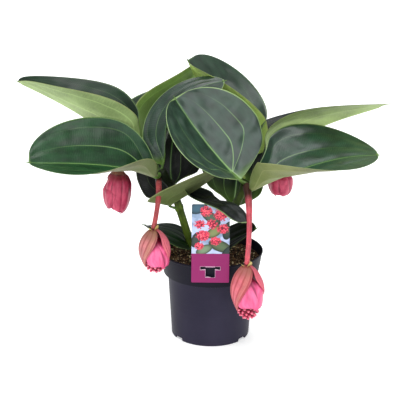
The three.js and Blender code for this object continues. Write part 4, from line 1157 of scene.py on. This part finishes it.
def drain_cutter(piece, angle, sides=24):
    """A prism for one drain hole in the floor."""
    turns = full_turn(sides)
    x = DRAIN_CIRCLE * math.cos(angle) + DRAIN_RADIUS * np.cos(turns)
    y = DRAIN_CIRCLE * math.sin(angle) + DRAIN_RADIUS * np.sin(turns)
    heights = CHANNEL_HEIGHT - CUT_SPARE, CHANNEL_HEIGHT + POT_WALL + CUT_SPARE
    points = np.concatenate([np.stack([x, y, np.full(sides, z)], axis=-1) for z in heights])
    faces = grid_quads(2, sides, wrap=True) + [list(range(sides))[::-1], list(range(sides, 2 * sides))]
    piece.extend(points, faces, 0)


def apply_modifiers(piece):
    graph = bpy.context.evaluated_depsgraph_get()
    mesh = bpy.data.meshes.new_from_object(piece.evaluated_get(graph), preserve_all_data_layers=True,
                                           depsgraph=graph)
    old = piece.data
    piece.modifiers.clear()
    piece.data = mesh
    bpy.data.meshes.remove(old)


def soil_height(x, y, edge):
    """Height of the soil's surface over its level: soft lumps on a shallow dome."""
    turn = 2 * np.pi / LUMP_LENGTH
    broad = np.sin(turn * x + 1.3) * np.cos(turn * y - 0.6)
    fine = 0.6 * np.sin(turn * (1.9 * x - 1.6 * y))
    return LUMP_HEIGHT * (broad + fine) - DOME_DROP * (x * x + y * y) / edge**2


def soil_piece():
    floor = POT_WALL + SOLID_GAP
    edge = inner_wall(SOIL_LEVEL - 4) - SOIL_GAP
    pad = PAD_RADIUS - 1 - SOIL_GAP
    profile = [(0, floor), (pad, floor), (pad + 4, CHANNEL_HEIGHT + floor),
               (BASE_RADIUS - POT_WALL - SOIL_GAP, CHANNEL_HEIGHT + floor),
               (SHOULDER_RADIUS - POT_WALL - SOIL_GAP, BODY_HEIGHT + SOLID_GAP),
               (inner_wall(BODY_HEIGHT + POT_WALL) - SOIL_GAP, BODY_HEIGHT + floor), (edge, SOIL_LEVEL - 2)]
    below = len(profile) - 1
    profile += [(edge * share, SOIL_LEVEL) for share in np.linspace(SOIL_SHARE, 0.02, 40)]
    profile += [(0, SOIL_LEVEL)]

    def lift(grid):
        height = soil_height(grid[..., 0], grid[..., 1], edge)
        height[:below] = 0
        return height

    piece = Piece()
    turned(piece, profile, 120, 0, lift)
    rng = random.Random(SOIL_SEED)
    octahedron = np.array([(-1, 0, 0), (1, 0, 0), (0, -1, 0), (0, 1, 0), (0, 0, -1), (0, 0, 1)], float)
    faces = [[0, 2, 5], [2, 1, 5], [1, 3, 5], [3, 0, 5], [2, 0, 4], [1, 2, 4], [3, 1, 4], [0, 3, 4]]
    for _ in range(CRUMB_COUNT):
        radius = edge * SOIL_SHARE * math.sqrt(rng.random())
        angle = rng.uniform(0, 2 * math.pi)
        x, y = radius * math.cos(angle), radius * math.sin(angle)
        size = rng.choice(CRUMB_SIZES)
        spin = rng.uniform(0, math.pi)
        shape = octahedron * np.array([[rng.uniform(0.6, 1.3) * size] * 3 for _ in range(6)])
        shape[:, 2] *= 0.7
        z = SOIL_LEVEL + float(soil_height(x, y, edge)) + rng.uniform(-0.2, 0.5) * size
        tilt = rotation(rng.uniform(-0.7, 0.7), 1, 2)
        crumb = shape @ rotation(spin, 0, 1).T @ tilt + np.array([x, y, z])
        if np.hypot(crumb[:, 0], crumb[:, 1]).max() > edge:
            continue
        piece.extend(crumb, faces, 0, np.tile([rng.random(), 0, 0, 0], (6, 1)))
    piece.build("soil_crumbs", [soil_finish()], "soil", ["soil"])


# Stage


def soft_light(name, direction, spread, strength, colour):
    """A lamp far away that shines from the given direction and looks spread degrees wide."""
    data = bpy.data.lights.new(name, "SUN")
    data.angle = math.radians(spread)
    data.energy = strength
    data.color = colour
    lamp = add_object(name, data)
    lamp.location = Vector(direction).normalized() * 3
    lamp.rotation_euler = Vector(direction).to_track_quat("Z", "Y").to_euler()


def make_stage():
    mesh = bpy.data.meshes.new("floor")
    mesh.from_pydata([(x * FLOOR_HALF, y * FLOOR_HALF, 0) for x, y in SQUARE], [], [[0, 1, 2, 3]])
    f = Finish("floor_paint", (250, 250, 250), Roughness=0.9, Specular_IOR_Level=0.1,
               Emission_Strength=FLOOR_GLOW, Emission_Color=(1, 1, 1, 1))
    mesh.materials.append(f.finish())
    floor = add_object("floor", mesh)

    world = bpy.data.worlds.new("studio")
    world.use_nodes = True
    sky = Nodes(world.node_tree)
    height = sky.axes(sky.add("TexCoord", {}, "Generated"))[2]
    strength = sky.add("MapRange", {"Value": height, "To Min": SKY_LOW, "To Max": SKY_HIGH})
    background = sky.tree.nodes["Background"]
    sky.put(background.inputs["Color"], SKY_COLOUR)
    sky.put(background.inputs["Strength"], strength)
    bpy.context.scene.world = world

    for lamp in LAMPS:
        soft_light(*lamp)
    bpy.context.scene.view_settings.view_transform = "Standard"


def make_camera():
    pitch, roll = math.radians(CAMERA_PITCH), math.radians(CAMERA_ROLL)
    forward = Vector((0, math.cos(pitch), -math.sin(pitch)))
    level_right = Vector((1, 0, 0))
    level_up = level_right.cross(forward)
    right = math.cos(roll) * level_right - math.sin(roll) * level_up
    up = math.sin(roll) * level_right + math.cos(roll) * level_up
    data = bpy.data.cameras.new("camera")
    data.lens = CAMERA_LENS
    data.sensor_width = SENSOR_WIDTH
    camera = add_object("camera", data)
    turn = Matrix((right, up, -forward)).transposed().to_4x4()
    camera.matrix_world = Matrix.Translation(CAMERA_AIM - forward * CAMERA_DISTANCE) @ turn
    bpy.context.scene.camera = camera


make_camera()
make_stage()
pot_piece()
soil_piece()
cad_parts["label"].data.materials.clear()
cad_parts["label"].data.materials.append(label_finish())
for stem_name, stem_spec in STEMS.items():
    stem_piece(stem_name, stem_spec)
for stalk_name, stalk_spec in PEDUNCLES.items():
    peduncle_piece(stalk_name, stalk_spec)
for bud_number, bud_spec in BUDS.items():
    bud_pieces(bud_number, bud_spec, np.random.default_rng(bud_number))
leaf_rng = np.random.default_rng(GREEN_SEED)
for leaf_name, leaf_spec in LEAVES.items():
    leaf_piece(leaf_name, leaf_spec, leaf_rng)
